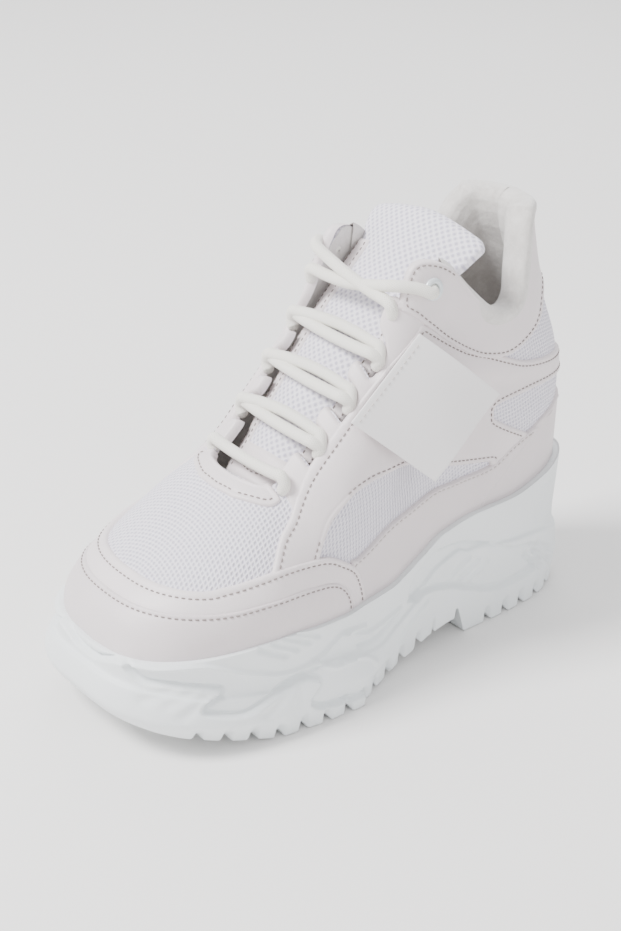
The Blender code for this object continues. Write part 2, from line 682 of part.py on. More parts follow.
def sole():
    """One moulded unit: cup rim, stepped wall, bumper and tread."""
    places = stations(0, END, STATIONS + 5)
    rings = []
    for at in places:
        lateral, medial = sole_profile(at, 1), sole_profile(at, -1)
        rings.append(lateral + medial[::-1])
    columns = len(rings[0])
    points = [point for one in rings for point in one]
    faces = grid_faces(len(rings), columns)
    for i in range(len(rings) - 1):
        a = i * columns
        faces.append([a, a + columns, a + 2 * columns - 1, a + columns - 1])
    body = finish_mesh("sole", points, faces)
    combine(body, lug_grooves(), "DIFFERENCE", True)
    front = TOE_BUMPER + 0.668 * UPPER_LENGTH
    back = TOE_BUMPER + 0.696 * UPPER_LENGTH
    notch = [(front, -4 * MM), (back, -4 * MM), (back, ARCH_RISE + 5 * MM),
             (front + 3 * MM, ARCH_RISE + 5 * MM)]
    return combine(body, prism("waist_notch", notch, -WIDE, WIDE, "side"), "DIFFERENCE")


def insole():
    """Footbed inside the upper, thickened under the heel as the hidden wedge."""
    places = PLACES[2:-1]
    points, faces = [], []
    for at in places:
        low = edge_height(at) - CUP_DEPTH + 3 * CLEARANCE
        high = low + INSOLE_THICKNESS + WEDGE_RISE * ease((smooth(LAST, "y", at) - 0.35) / 0.45)
        for side, z in ((1, low), (1, high), (-1, high), (-1, low)):
            edge = last(at, side, 0.0)
            inward = plan_normal(at, side) * -(WALL + 4 * CLEARANCE)
            points.append(Vector((edge.x + inward.x, edge.y + inward.y, z)))
    faces = grid_faces(len(places), 4)
    for i in range(len(places) - 1):
        faces.append([4 * i, 4 * i + 4, 4 * i + 7, 4 * i + 3])
    faces.append([0, 1, 2, 3])
    a = 4 * (len(places) - 1)
    faces.append([a + 3, a + 2, a + 1, a])
    return finish_mesh("insole", points, faces)


def tongue():
    """The padded tongue, crowned across and rising above the collar front."""
    first, final = TONGUE["rows"][0][0], TONGUE["rows"][-1][0]
    shares = (-1.0, -0.92, -0.6, -0.2, 0.2, 0.6, 0.92, 1.0)
    count = 10
    points = []
    for i in range(count + 1):
        y = first + (final - first) * i / count
        step = 0.01
        rise = (smooth(TONGUE, "z", y + step, "y") - smooth(TONGUE, "z", y - step, "y"))
        slope = Vector((0, 2 * step * UPPER_LENGTH, rise * COLLAR_BACK)).normalized()
        inward = Vector((0, slope.z, -slope.y))
        half = smooth(TONGUE, "half", y, "y") * HEEL_WIDTH
        crown = smooth(TONGUE, "crown", y, "y") * TONGUE_THICKNESS
        z = smooth(TONGUE, "z", y, "y") * COLLAR_BACK
        top, bottom = [], []
        for share in shares:
            point = Vector((SLOT_SHIFT + share * half, TOE_BUMPER + y * UPPER_LENGTH, z))
            point += inward * crown * share * share
            round_off = TONGUE_THICKNESS * 0.3 * max(0.0, abs(share) - 0.75) / 0.25
            top.append(point + inward * round_off)
            bottom.append(point + inward * (TONGUE_THICKNESS - round_off))
        points += top + bottom[::-1]
    columns = 2 * len(shares)
    faces = grid_faces(count + 1, columns)
    for i in range(count):
        a = i * columns
        faces.append([a, a + columns, a + 2 * columns - 1, a + columns - 1])
    faces.append(list(range(columns)))
    faces.append(list(range(count * columns, (count + 1) * columns)))
    return finish_mesh("tongue", points, faces)


def tube(name, route, radius, sides=6):
    """A round strand along a smooth curve through its route's points."""
    path = []
    for i in range(len(route) - 1):
        p0 = route[max(i - 1, 0)]
        p1, p2 = route[i], route[i + 1]
        p3 = route[min(i + 2, len(route) - 1)]
        for k in range(2):
            t = k / 2
            path.append(0.5 * (2 * p1 + (p2 - p0) * t + (2 * p0 - 5 * p1 + 4 * p2 - p3) * t * t
                               + (3 * p1 - p0 - 3 * p2 + p3) * t * t * t))
    path.append(route[-1])
    points = []
    for i, point in enumerate(path):
        way = (path[min(i + 1, len(path) - 1)] - path[max(i - 1, 0)]).normalized()
        across = way.cross(Vector((0, -0.7, 0.7))).normalized()
        up = across.cross(way)
        for k in range(sides):
            angle = 2 * math.pi * (k + 0.5) / sides
            points.append(point + (across * math.cos(angle) + up * math.sin(angle)) * radius)
    faces = []
    for i in range(len(path) - 1):
        for k in range(sides):
            a, b = i * sides + k, i * sides + (k + 1) % sides
            faces.append([a, b, b + sides, a + sides])
    faces.append(list(range(sides)))
    faces.append(list(range(len(points) - sides, len(points))))
    return finish_mesh(name, points, faces)


def lace_rows():
    """The bars across the throat: one strand at the bottom, then pairs joined at the slots."""
    made = []
    for number, row in enumerate(LACE_ROWS):
        y = TOE_BUMPER + row["y"] * UPPER_LENGTH
        z, middle = row["z"] * COLLAR_BACK, row["middle"] * COLLAR_BACK
        strands = []
        for way in ((0,) if row["bow"] == 0 else (-1, 1)):
            route = []
            for share in (-1.0, -0.5, 0.0, 0.5, 1.0):
                bow = way * (row["bow"] * LACE_DIAMETER * (1 - share * share) + 0.3 * MM)
                height = middle + (z - middle) * share * share
                x = share * row["half"] * THROAT_WIDTH + SLOT_SHIFT
                route.append(Vector((x, y + 0.68 * bow, height + 0.73 * bow)))
            strands.append(tube("lace_row_%d" % (number + 1), route, LACE_DIAMETER / 2))
        if len(strands) == 2:
            combine(strands[0], strands[1], "UNION")
        made.append(strands[0])
    return made


def eyelet_frame(side):
    """Middle of a top eyelet on the last, and its outward direction."""
    y = TOE_BUMPER + EYELET_PLACE[0] * UPPER_LENGTH
    z = EYELET_PLACE[1] * COLLAR_BACK
    best = None
    for at in stations(11.5, 13.5, 40):
        for up in stations(0.4, 1.0, 60):
            point = last(at, side, up)
            gap = math.hypot(point.y - y, point.z - z)
            if best is None or gap < best[0]:
                best = (gap, point, normal(at, side, up))
    return best[1], best[2]


def disc(name, middle, way, radius, low, high, hole=0.0, sides=12):
    """A round plate square to a direction, with a hole where asked for."""
    across = way.cross(Vector((0, 0, 1))).normalized()
    up = across.cross(way)
    points, faces = [], []
    rims = ((radius, low), (radius, high)) + (((hole, high), (hole, low)) if hole else ())
    for reach, depth in rims:
        for k in range(sides):
            angle = 2 * math.pi * k / sides
            spoke = across * math.cos(angle) + up * math.sin(angle)
            points.append(middle + way * depth + spoke * reach)
    count = len(rims)
    for ring_index in range(count if hole else count - 1):
        for k in range(sides):
            a, b = ring_index * sides, ((ring_index + 1) % count) * sides
            n = (k + 1) % sides
            faces.append([a + k, a + n, b + n, b + k])
    if not hole:
        faces.append(list(range(sides)))
        faces.append(list(range(sides, 2 * sides)))
    return finish_mesh(name, points, faces)


def eyelet(side, name):
    """Ring of a top eyelet on the collar band."""
    middle, way = eyelet_frame(side)
    return disc(name, middle, way, EYELET_RADIUS, COVER_HIGH + CLEARANCE,
                COVER_HIGH + CLEARANCE + EYELET_HEIGHT, EYELET_HOLE)


def eyelet_hole(piece, side):
    """Cut the top eyelet's hole through a piece."""
    middle, way = eyelet_frame(side)
    drill = disc("drill", middle, way, EYELET_HOLE + CLEARANCE, -8 * MM, 8 * MM, 0.0, 10)
    return combine(piece, drill, "DIFFERENCE")


def lace_top():
    """The crossing from each top eyelet to the slot below on the other side."""
    y, z = TOE_BUMPER + TOP_SLOT[0] * UPPER_LENGTH, TOP_SLOT[1] * COLLAR_BACK
    strands = []
    for side in (1, -1):
        middle, way = eyelet_frame(side)
        start = middle + way * (COVER_HIGH + 1.6 * CLEARANCE + EYELET_HEIGHT + LACE_DIAMETER / 2)
        route = [start, Vector((start.x - side * 1 * MM, (start.y + y) / 2, z + 6 * MM)),
                 Vector((SLOT_SHIFT + side * 28 * MM, y, z + 5.5 * MM)),
                 Vector((SLOT_SHIFT + side * 14 * MM, y - 1 * MM, z + 1 * MM)),
                 Vector((SLOT_SHIFT, y - 2 * MM, z - 4 * MM)),
                 Vector((SLOT_SHIFT - side * 14 * MM, y - 2 * MM, z - 3 * MM)),
                 Vector((SLOT_SHIFT - side * 24 * MM, y - 1 * MM, z + 0.5 * MM))]
        strands.append(tube("lace_top", route, LACE_DIAMETER / 2))
    return combine(strands[0], strands[1], "UNION")


def label():
    """The folded cloth label, sewn along the eyestay seam and standing off the side."""
    low, high = [Vector((0, TOE_BUMPER + y * UPPER_LENGTH, z * COLLAR_BACK))
                 for y, z in LABEL_SEAM]
    along = (high - low).normalized()
    down = Vector((0, along.z, -along.y)) * math.cos(LABEL_SKEW) + along * math.sin(LABEL_SKEW)
    hang = down * math.cos(LABEL_LIFT)
    hang.x = math.sin(LABEL_LIFT)
    face = along.cross(hang).normalized()
    if face.x < 0:
        face = -face
    start = (low + high) / 2
    start.x = LABEL_SEAT
    points = []
    for depth in (0, LABEL_THICKNESS):
        for reach in (0.0, LABEL_LENGTH):
            for way in (-0.5, 0.5):
                points.append(start + along * LABEL_WIDTH * way + hang * reach + face * depth)
    faces = [(0, 1, 3, 2), (4, 6, 7, 5), (0, 4, 5, 1), (2, 3, 7, 6), (0, 2, 6, 4), (1, 5, 7, 3)]
    return finish_mesh("side_label", points, [list(face) for face in faces], False)


# Colour, roughness and metallic value of each material.
FINISHES = {
    "leather": ((0.86, 0.82, 0.82), 0.45, 0.0),
    "mesh": ((0.87, 0.85, 0.88), 0.75, 0.0),
    "rubber": ((0.90, 0.92, 0.93), 0.50, 0.0),
    "lace": ((0.92, 0.91, 0.87), 0.80, 0.0),
    "lining": ((0.83, 0.81, 0.79), 0.90, 0.0),
    "ring": ((0.80, 0.83, 0.85), 0.35, 0.2),
    "cloth": ((0.93, 0.92, 0.92), 0.60, 0.0),
}


def paint(item, finish):
    """Give a piece its own material."""
    colour, roughness, metallic = FINISHES[finish]
    material = bpy.data.materials.new(item.name + "_" + finish)
    material.use_nodes = True
    shader = material.node_tree.nodes["Principled BSDF"]
    shader.inputs["Base Color"].default_value = (*colour, 1.0)
    shader.inputs["Roughness"].default_value = roughness
    shader.inputs["Metallic"].default_value = metallic
    item.data.materials.clear()
    item.data.materials.append(material)


def stand_at_origin(pieces):
    """Put the middle of the whole shoe's base at the origin, through one parent."""
    corners = [piece.matrix_world @ vertex.co for piece in pieces for vertex in piece.data.vertices]
    middle_x = (min(c.x for c in corners) + max(c.x for c in corners)) / 2
    middle_y = (min(c.y for c in corners) + max(c.y for c in corners)) / 2
    base = bpy.data.objects.new("shoe", None)
    bpy.context.scene.collection.objects.link(base)
    base.location = (-middle_x, -middle_y, -min(c.z for c in corners))
    for piece in pieces:
        piece.parent = base


def build():
    """Make every piece of the shoe."""
    for item in list(bpy.data.objects):
        bpy.data.objects.remove(item, do_unlink=True)
    body = upper()
    band = collar_band()
    for side in (1, -1):
        eyelet_hole(body, side)
        eyelet_hole(band, side)
    leather = toe_pieces() + [lip(), counter(), band]
    for side, word in ((1, "lateral"), (-1, "medial")):
        leather += [eyestay(side, "eyestay_" + word), quarter(side, "quarter_" + word),
                    foxing(side, "foxing_" + word)]
    groups = (
        ("leather", leather),
        ("mesh", [body, tongue()]),
        ("rubber", [sole()]),
        ("lining", [insole()]),
        ("lace", lace_rows() + [lace_top()]),
        ("ring", [eyelet(1, "eyelet_lateral"), eyelet(-1, "eyelet_medial")]),
        ("cloth", [label()]),
    )
    for finish, pieces in groups:
        for piece in pieces:
            paint(piece, finish)
    stand_at_origin([piece for _, pieces in groups for piece in pieces])


build()
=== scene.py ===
"""Looks of the hidden wedge sneaker, left shoe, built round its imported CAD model.

Sizes are in millimetres in the shoe's own frame: toe at y = 0, heel towards +Y, outer (lateral)
side towards +X, floor at z = 0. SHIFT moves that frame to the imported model's.
"""
import math
import bpy
import numpy as np
from mathutils import Matrix, Vector


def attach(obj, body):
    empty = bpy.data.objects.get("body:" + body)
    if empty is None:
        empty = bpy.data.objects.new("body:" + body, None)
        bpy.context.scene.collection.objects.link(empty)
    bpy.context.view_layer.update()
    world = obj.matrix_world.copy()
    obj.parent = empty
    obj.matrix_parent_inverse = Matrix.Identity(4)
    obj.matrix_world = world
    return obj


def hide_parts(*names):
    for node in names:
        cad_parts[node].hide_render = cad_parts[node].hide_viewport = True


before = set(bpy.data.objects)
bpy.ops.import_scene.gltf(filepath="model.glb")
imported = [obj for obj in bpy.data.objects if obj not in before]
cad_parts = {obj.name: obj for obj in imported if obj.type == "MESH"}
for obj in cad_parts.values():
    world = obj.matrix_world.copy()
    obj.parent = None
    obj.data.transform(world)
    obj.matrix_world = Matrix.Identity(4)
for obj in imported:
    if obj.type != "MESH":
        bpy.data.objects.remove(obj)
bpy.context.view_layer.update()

SHIFT = np.array((-1.02, -139.34, 0.0))
# The driving sizes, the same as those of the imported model.
LENGTH, COLLAR_BACK = 261.0, 203.0
BALL_WIDTH, HEEL_WIDTH = 95.5, 71.7
FORE_EDGE, HEEL_EDGE = 44.5, 70.0
INSTEP_RISE = 113.0
TOE_BUMPER, BALL_FLARE, HEEL_FLARE = 8.5, 11.0, 8.5
TOE_SPRING, ARCH_RISE, HEEL_BEVEL = 17.0, 10.0, 7.0
THROAT_WIDTH = 40.0
# Wall of the upper, the sole's reach under it, and the width of the sole's rim.
WALL, SEAT, RIM = 2.4, 2.55, 3.0
D = 8   # column of a patch's distance field
# Grooves between the lugs: spacing, half width, height, depth in from the side.
LUG_PITCH, LUG_HALF, LUG_RISE, LUG_BITE = 12.4, 1.8, 3.2, 2.6
SLOT_SHIFT = 1.5   # the laces' middle lies this far to the outer side
LACE = 5.4   # thickness of the cord

# Cross-sections of the last from toe to heel. Shares: along LENGTH, outer and inner half width,
# of BALL_WIDTH over HEEL_WIDTH, edge height from FORE_EDGE to HEEL_EDGE, rise of INSTEP_RISE;
# then how square the outer and the inner side are.
LAST = np.array((
    (0.000, 0.000, 0.000, 1.0, -0.06, 0.005, 2.0, 2.0),
    (0.004, 0.270, 0.340, 1.0, -0.05, 0.055, 2.1, 2.2),
    (0.013, 0.440, 0.530, 1.0, -0.03, 0.100, 2.2, 2.4),
    (0.033, 0.600, 0.720, 1.0, -0.02, 0.145, 2.25, 2.5),
    (0.067, 0.754, 0.845, 1.0, 0.00, 0.200, 2.3, 2.6),
    (0.117, 0.880, 0.940, 1.0, 0.02, 0.275, 2.3, 2.7),
    (0.178, 0.974, 0.995, 1.0, 0.06, 0.362, 2.3, 2.7),
    (0.236, 1.016, 1.010, 1.0, 0.08, 0.442, 2.3, 2.7),
    (0.301, 1.005, 0.975, 1.0, 0.02, 0.540, 2.4, 2.7),
    (0.362, 0.967, 0.925, 1.0, -0.04, 0.686, 2.9, 3.0),
    (0.420, 0.995, 0.925, 0.7, -0.02, 0.840, 3.6, 3.6),
    (0.481, 1.030, 0.940, 0.4, 0.02, 1.030, 4.4, 4.4),
    (0.554, 1.060, 0.950, 0.15, 0.33, 1.345, 5.0, 5.0),
    (0.619, 1.077, 0.990, 0.0, 0.65, 1.450, 5.5, 5.5),
    (0.695, 1.043, 0.990, 0.0, 0.76, 1.480, 6.0, 6.0),
    (0.791, 1.021, 0.990, 0.0, 0.77, 1.480, 6.0, 6.0),
    (0.879, 0.935, 0.935, 0.0, 0.90, 1.480, 6.0, 6.0),
    (0.941, 0.753, 0.753, 0.0, 0.98, 1.480, 6.0, 6.0),
    (0.983, 0.460, 0.460, 0.0, 1.00, 1.480, 6.0, 6.0),
    (1.000, 0.000, 0.000, 0.0, 1.00, 1.480, 6.0, 6.0),
))
# Heights as shares of COLLAR_BACK, with the lean back as a share of LENGTH and the width's share.
SHAFT = np.array((
    (0.20, 0.000, 1.00), (0.35, 0.000, 1.00), (0.47, 0.004, 0.99), (0.62, -0.013, 0.965),
    (0.74, -0.052, 0.93), (0.86, -0.090, 0.89), (1.00, -0.112, 0.86), (1.15, -0.122, 0.84),
))
# The sole at places along LAST. Shares: outer and inner flare, of TOE_BUMPER, of HEEL_FLARE, tuck
# at the foot of the wall, of TOE_SPRING, ARCH_RISE and HEEL_BEVEL, and the ledge's height.
SOLE = np.array((
    (0.0, 0.92, 0.92, 1.0, 0.0, 0.60, 1.00, 0.0, 0.0, 0.66),
    (2.0, 0.95, 1.00, 1.0, 0.0, 0.70, 0.85, 0.0, 0.0, 0.62),
    (3.4, 1.00, 1.00, 0.9, 0.0, 0.80, 0.62, 0.0, 0.0, 0.58),
    (4.6, 0.95, 0.95, 0.7, 0.0, 0.80, 0.38, 0.0, 0.0, 0.52),
    (5.8, 0.80, 0.80, 0.3, 0.0, 0.65, 0.15, 0.0, 0.0, 0.48),
    (7.0, 0.75, 0.72, 0.0, 0.0, 0.35, 0.00, 0.0, 0.0, 0.46),
    (8.2, 0.95, 0.72, 0.0, 0.0, 0.12, 0.00, 0.0, 0.0, 0.58),
    (9.4, 1.15, 0.72, 0.0, 0.0, 0.10, 0.00, 0.0, 0.0, 0.50),
    (10.6, 0.85, 0.62, 0.0, 0.1, 0.15, 0.00, 0.1, 0.0, 0.40),
    (11.6, 0.55, 0.45, 0.0, 0.4, 0.20, 0.00, 0.3, 0.0, 0.50),
    (12.8, 0.50, 0.45, 0.0, 0.8, 0.25, 0.00, 0.8, 0.0, 0.62),
    (13.6, 0.50, 0.50, 0.0, 1.0, 0.25, 0.00, 1.0, 0.0, 0.66),
    (14.0, 0.50, 0.50, 0.0, 1.0, 0.22, 0.00, 0.0, 0.0, 0.66),
    (15.2, 0.55, 0.60, 0.0, 1.0, 0.18, 0.00, 0.0, 0.0, 0.60),
    (16.4, 0.75, 0.80, 0.0, 1.0, 0.15, 0.00, 0.0, 0.0, 0.50),
    (17.4, 0.95, 0.95, 0.0, 1.0, 0.18, 0.00, 0.0, 0.2, 0.40),
    (19.0, 1.00, 1.00, 0.0, 1.0, 0.30, 0.00, 0.0, 1.0, 0.36),
))
# Along LENGTH, up COLLAR_BACK, half width of HEEL_WIDTH, and how far the sides bend down.
TONGUE = np.array((
    (0.285, 0.470, 0.250, 0.90), (0.318, 0.500, 0.290, 0.95), (0.362, 0.563, 0.320, 0.95),
    (0.420, 0.650, 0.345, 0.85), (0.481, 0.742, 0.365, 0.75), (0.543, 0.822, 0.385, 0.65),
    (0.600, 0.894, 0.395, 0.60), (0.640, 0.948, 0.465, 0.60), (0.668, 0.978, 0.490, 0.60),
    (0.688, 0.992, 0.490, 0.70),
))
END = len(LAST) - 1

# Seams in side view, as shares of LENGTH behind the toe and of COLLAR_BACK up.
OUTER_SEAM = ((-0.10, 0.302), (0.076, 0.303), (0.144, 0.305), (0.220, 0.313), (0.290, 0.313),
              (0.335, 0.306), (0.368, 0.285), (0.389, 0.240), (0.393, 0.180))
INNER_SEAM = ((-0.10, 0.337), (0.100, 0.338), (0.153, 0.348), (0.232, 0.366), (0.290, 0.368),
              (0.335, 0.362), (0.366, 0.343), (0.400, 0.308), (0.423, 0.246), (0.431, 0.180))
QUARTER_FRONT = ((0.228, 0.366), (0.256, 0.415), (0.286, 0.447), (0.303, 0.472), (0.335, 0.522),
                 (0.366, 0.567), (0.420, 0.643), (0.481, 0.724), (0.546, 0.802))
QUARTER_TOP = ((0.556, 0.797), (0.603, 0.751), (0.665, 0.706), (0.726, 0.675), (0.795, 0.651),
               (0.898, 0.626), (1.100, 0.590))
HEEL_WINDOW = ((1.100, 0.530), (0.898, 0.565), (0.755, 0.563), (0.740, 0.543), (0.750, 0.522),
               (0.828, 0.466))
QUARTER_LOW = ((0.745, 0.422), (0.634, 0.453), (0.534, 0.498), (0.466, 0.500), (0.408, 0.487),
               (0.372, 0.457), (0.346, 0.424), (0.319, 0.368))
FOXING_TOP = ((0.388, 0.335), (0.404, 0.330), (0.439, 0.347), (0.479, 0.371), (0.531, 0.389),
              (0.592, 0.409), (0.653, 0.411), (0.745, 0.414), (0.828, 0.458), (1.100, 0.522))
COUNTER_SEAM = ((0.722, 0.180), (0.728, 0.313), (0.759, 0.353), (0.795, 0.394), (0.833, 0.427),
                (0.900, 0.470), (1.100, 0.505))
COLLAR_SEAM = ((0.508, 0.842), (0.531, 0.836), (0.564, 0.800), (0.619, 0.746), (0.684, 0.698),
               (0.726, 0.681), (0.761, 0.675), (0.795, 0.682), (0.837, 0.703), (0.866, 0.728),
               (0.920, 0.800), (1.100, 0.900))
COLLAR_LINE = ((0.440, 0.826), (0.500, 0.846), (0.518, 0.858), (0.530, 0.900), (0.542, 0.931),
               (0.561, 0.943), (0.592, 0.936), (0.626, 0.911), (0.669, 0.855), (0.711, 0.803),
               (0.745, 0.785), (0.776, 0.789), (0.795, 0.815), (0.808, 0.870), (0.820, 0.930),
               (0.840, 0.972), (0.870, 0.985), (1.100, 0.985))
# Hidden edges that close the outlines under other pieces.
EYESTAY_FRONT = ((0.296, 0.440), (0.300, 0.520), (0.310, 0.640), (0.440, 0.850), (0.520, 0.870),
                 (0.560, 0.815))
QUARTER_UNDER_COLLAR = ((0.546, 0.802), (0.552, 0.812), (0.600, 0.772), (0.662, 0.724),
                        (0.722, 0.694), (0.770, 0.668), (0.820, 0.644), (0.898, 0.626),
                        (1.100, 0.590))
UNDER_FOXING = ((0.828, 0.466), (0.845, 0.455), (0.770, 0.405), (0.738, 0.412))
UNDER_BAND = ((0.319, 0.368), (0.312, 0.345), (0.216, 0.340))
FOXING_FLOOR = ((0.722, 0.12), (0.416, 0.12), (0.410, 0.180), (0.402, 0.246), (0.385, 0.300))
# Seen from above: share of LENGTH behind the toe, then share of half the THROAT_WIDTH.
THROAT = ((0.267, 0.20), (0.271, 0.55), (0.283, 0.92), (0.310, 1.00), (0.380, 1.02),
          (0.440, 1.10), (0.500, 1.25), (0.600, 1.35))
LIP = ((0.232, 0.00), (0.234, 0.30), (0.238, 0.65), (0.256, 1.12), (0.272, 1.34), (0.290, 1.38))
# Lace rows: y and z shares at the slots, half width, z share of the middle.
LACE_ROWS = ((0.296, 0.528, 25.0, 0.512), (0.362, 0.592, 27.0, 0.592), (0.420, 0.678, 28.0, 0.677),
             (0.475, 0.762, 29.0, 0.760))
# The highest crossing, the top eyelets and the label's sewn edge, in side view.
TOP_SLOT = (0.508, 0.862)
EYELET_PLACE = (0.573, 0.882)
LABEL_SEAM = ((0.413, 0.627), (0.518, 0.746))


# Curves and the surface of the last

def curve(places, values, at):
    """Values at places along a curve through a table, without overshoot."""
    places, values = np.asarray(places, float), np.asarray(values, float)
    at = np.clip(np.asarray(at, float), places[0], places[-1])
    k = np.clip(np.searchsorted(places, at, side="left") - 1, 0, len(places) - 2)
    steps = np.diff(places)
    rises = np.diff(values) / steps
    slopes = np.empty(len(places))
    slopes[0], slopes[-1] = rises[0], rises[-1]
    product = rises[:-1] * rises[1:]
    safe = np.where(product > 0, rises[:-1], 1.0), np.where(product > 0, rises[1:], 1.0)
    a, b = 2 * steps[1:] + steps[:-1], steps[1:] + 2 * steps[:-1]
    slopes[1:-1] = np.where(product > 0, (a + b) / (a / safe[0] + b / safe[1]), 0.0)
    h = steps[k]
    t = (at - places[k]) / h
    low = (1 - t) ** 2 * ((1 + 2 * t) * values[k] + t * h * slopes[k])
    return low + t * t * ((3 - 2 * t) * values[k + 1] - (1 - t) * h * slopes[k + 1])


def last_table(column, at):
    """A column of LAST at places counted in its rows."""
    return curve(np.arange(len(LAST)), LAST[:, column], at)


def sole_table(column, at):
    """A column of SOLE at places along LAST."""
    return curve(SOLE[:, 0], SOLE[:, column], at)


def ease(share):
    """Smooth ramp from 0 to 1."""
    share = np.clip(share, 0.0, 1.0)
    return share * share * (3 - 2 * share)


def unit(vectors):
    """Vectors at length 1."""
    return vectors / np.maximum(np.linalg.norm(vectors, axis=-1, keepdims=True), 1e-9)


def run_of(points, axis=0):
    """Length along rows of points, from 0."""
    steps = np.linalg.norm(np.diff(points, axis=axis), axis=-1)
    return np.insert(np.cumsum(steps, axis), 0, 0.0, axis)


def at_run(goal, run, values):
    """Columns of values at lengths along a path."""
    return np.stack([np.interp(goal, run, column) for column in values.T], -1)


def side_view(shares):
    """Shares of LENGTH and COLLAR_BACK as millimetres in side view."""
    return np.asarray(shares) * (LENGTH, COLLAR_BACK) + (TOE_BUMPER, 0)


def bump(x, middle, width):
    """Bell of height 1."""
    return np.exp(-((x - middle) / width) ** 2)


def edge_height(at):
    """Height of the edge where the upper meets the sole."""
    return FORE_EDGE + last_table(4, at) * (HEEL_EDGE - FORE_EDGE)


def lines(ats, side, ups):
    """Points on the last for places along it and shares up each cross-section."""
    ats, ups = np.asarray(ats, float), np.asarray(ups, float)
    along, ball = last_table(0, ats), last_table(3, ats)
    half = (ball * BALL_WIDTH + (1 - ball) * HEEL_WIDTH) / 2 * last_table(1 if side > 0 else 2, ats)
    power = 2 / last_table(6 if side > 0 else 7, ats)
    low, rise = edge_height(ats), last_table(5, ats) * INSTEP_RISE
    angle = np.linspace(0, math.pi / 2, 121)
    z = low[:, None] + rise[:, None] * np.sin(angle)[None] ** power[:, None]
    x = side * half[:, None] * np.maximum(np.cos(angle), 0)[None] ** power[:, None]
    shaft, heel = ease((along - 0.33) / 0.2)[:, None], ease((along - 0.54) / 0.38)[:, None]
    x = x * (1 - shaft * (1 - curve(SHAFT[:, 0], SHAFT[:, 2], z / COLLAR_BACK)))
    back = curve(SHAFT[:, 0], SHAFT[:, 1], z / COLLAR_BACK)
    y = TOE_BUMPER + (along[:, None] + heel * back) * LENGTH
    points = np.stack((x, y, z), -1)
    ups = np.clip(ups, 0, 1)
    return np.array([at_run(ups * run[-1], run, row)
                     for run, row in zip(run_of(points, 1), points)])


def surface(ats, side, ups):
    """Points of the last and its outward directions. Shares under 0 are millimetres below."""
    ats, ups = np.asarray(ats, float), np.asarray(ups, float)
    real = np.clip(ups, 0, 1)
    points = lines(ats, side, real)
    step = 0.03
    along = (lines(np.minimum(ats + step, END), side, real)
             - lines(np.maximum(ats - step, 0), side, real))
    rise = (lines(ats, side, np.minimum(real + step, 1))
            - lines(ats, side, np.maximum(real - step, 0)))
    rise[:, real > 0.995, 2] = 0
    rise[:, real < 0.005, 0] = 0
    out = np.cross(along, rise) * side
    out[:, real > 0.995, 0] = 0
    out[ats < 0.02] = (0, -1, 0)
    back = np.stack((np.zeros(len(real)), np.ones(len(real)), 2 * ease(real * 10 - 9)), -1)
    out[ats > END - 0.02] = back
    points[:, ups < 0, 2] += ups[ups < 0]
    return points, unit(out)


def spaced(first, final, step):
    """Places along the last about a step apart along its edge."""
    fine = np.linspace(first, final, 600)
    path = 0.5 * (lines(fine, 1, [0.0])[:, 0] + lines(fine, -1, [0.0])[:, 0] * (-1, 1, 1))
    run = run_of(path)
    count = max(int(run[-1] / step), 4)
    return np.interp(np.linspace(0, run[-1], count + 1), run, fine)


def waves(points):
    """Soft troughs and ridges of the worn-in upper, along its outward direction."""
    x, y, z = points[:, 0], points[:, 1], points[:, 2]
    lift = np.zeros(len(points))
    for side, cy, cz, turn, wide, tall, depth in CREASES:
        a, b = math.cos(math.radians(turn)), math.sin(math.radians(turn))
        u, v = (y - cy) * a + (z - cz) * b, -(y - cy) * b + (z - cz) * a
        on = ease(0.5 + side * x / 12.0) if side else 1.0
        lift += depth * np.exp(-(u / wide) ** 2 - (v / tall) ** 2) * on
    return lift


# side (0 both), y, z, turn in degrees, half length, half width, depth (minus is a trough)
CREASES = (
    (0, 128, 112, 62, 26, 5, -0.9), (0, 141, 118, 58, 24, 6, 0.7), (0, 150, 96, 25, 22, 5, -0.7),
    (0, 182, 150, -38, 24, 4, -0.8), (0, 196, 133, -22, 22, 5, 0.8), (0, 214, 122, -8, 26, 4, -0.8),
    (0, 176, 128, -30, 26, 5, 0.6), (0, 92, 74, 30, 20, 6, -0.7), (0, 104, 86, 40, 16, 5, 0.6),
    (0, 236, 150, 70, 18, 5, -0.7), (0, 165, 170, 40, 12, 5, 0.5), (0, 226, 100, 15, 24, 5, 0.6),
)


# Patches: rows of x, y, z, outward direction, two texture coordinates and fields

def net(rows, columns, closed=False, flip=False):
    """Faces of a net of points, joined round where asked for."""
    index = np.arange(rows * columns).reshape(rows, columns)
    near_side = index if closed else index[:, :-1]
    far_side = np.roll(index, -1, 1) if closed else index[:, 1:]
    quads = np.stack((near_side[:-1], near_side[1:], far_side[1:], far_side[:-1]), -1)
    quads = quads.reshape(-1, 4)
    return [tuple(quad) for quad in (quads[:, (0, 3, 2, 1)] if flip else quads).tolist()]


def patch(kind, first, final, low, high, step=1.5, drop=0.0):
    """A patch of the last: kind is ring (over the ridge), lateral, medial, or heel (both)."""
    ats = spaced(first, final, step)
    ups = np.linspace(low, high, max(int((high - low) * 120 / step), 4))
    if drop:
        ups = np.concatenate(((-drop, -drop / 2), ups))
    pieces = []
    for side in {"lateral": (1,), "medial": (-1,)}.get(kind, (1, -1)):
        points, out = surface(ats, side, ups)
        u, v = run_of(points), run_of(points, 1)
        if kind == "ring":
            v = (v - v[:, -1:]) * side
        if kind == "heel":
            u = (u - u[-1:]) * side
        rows = np.concatenate((points, out, u[..., None] / 10, v[..., None] / 10), -1)
        pieces.append((rows.reshape(-1, D), [face[::side] for face in net(*u.shape)]))
    return pieces[0] if len(pieces) == 1 else weld(*merged(pieces))


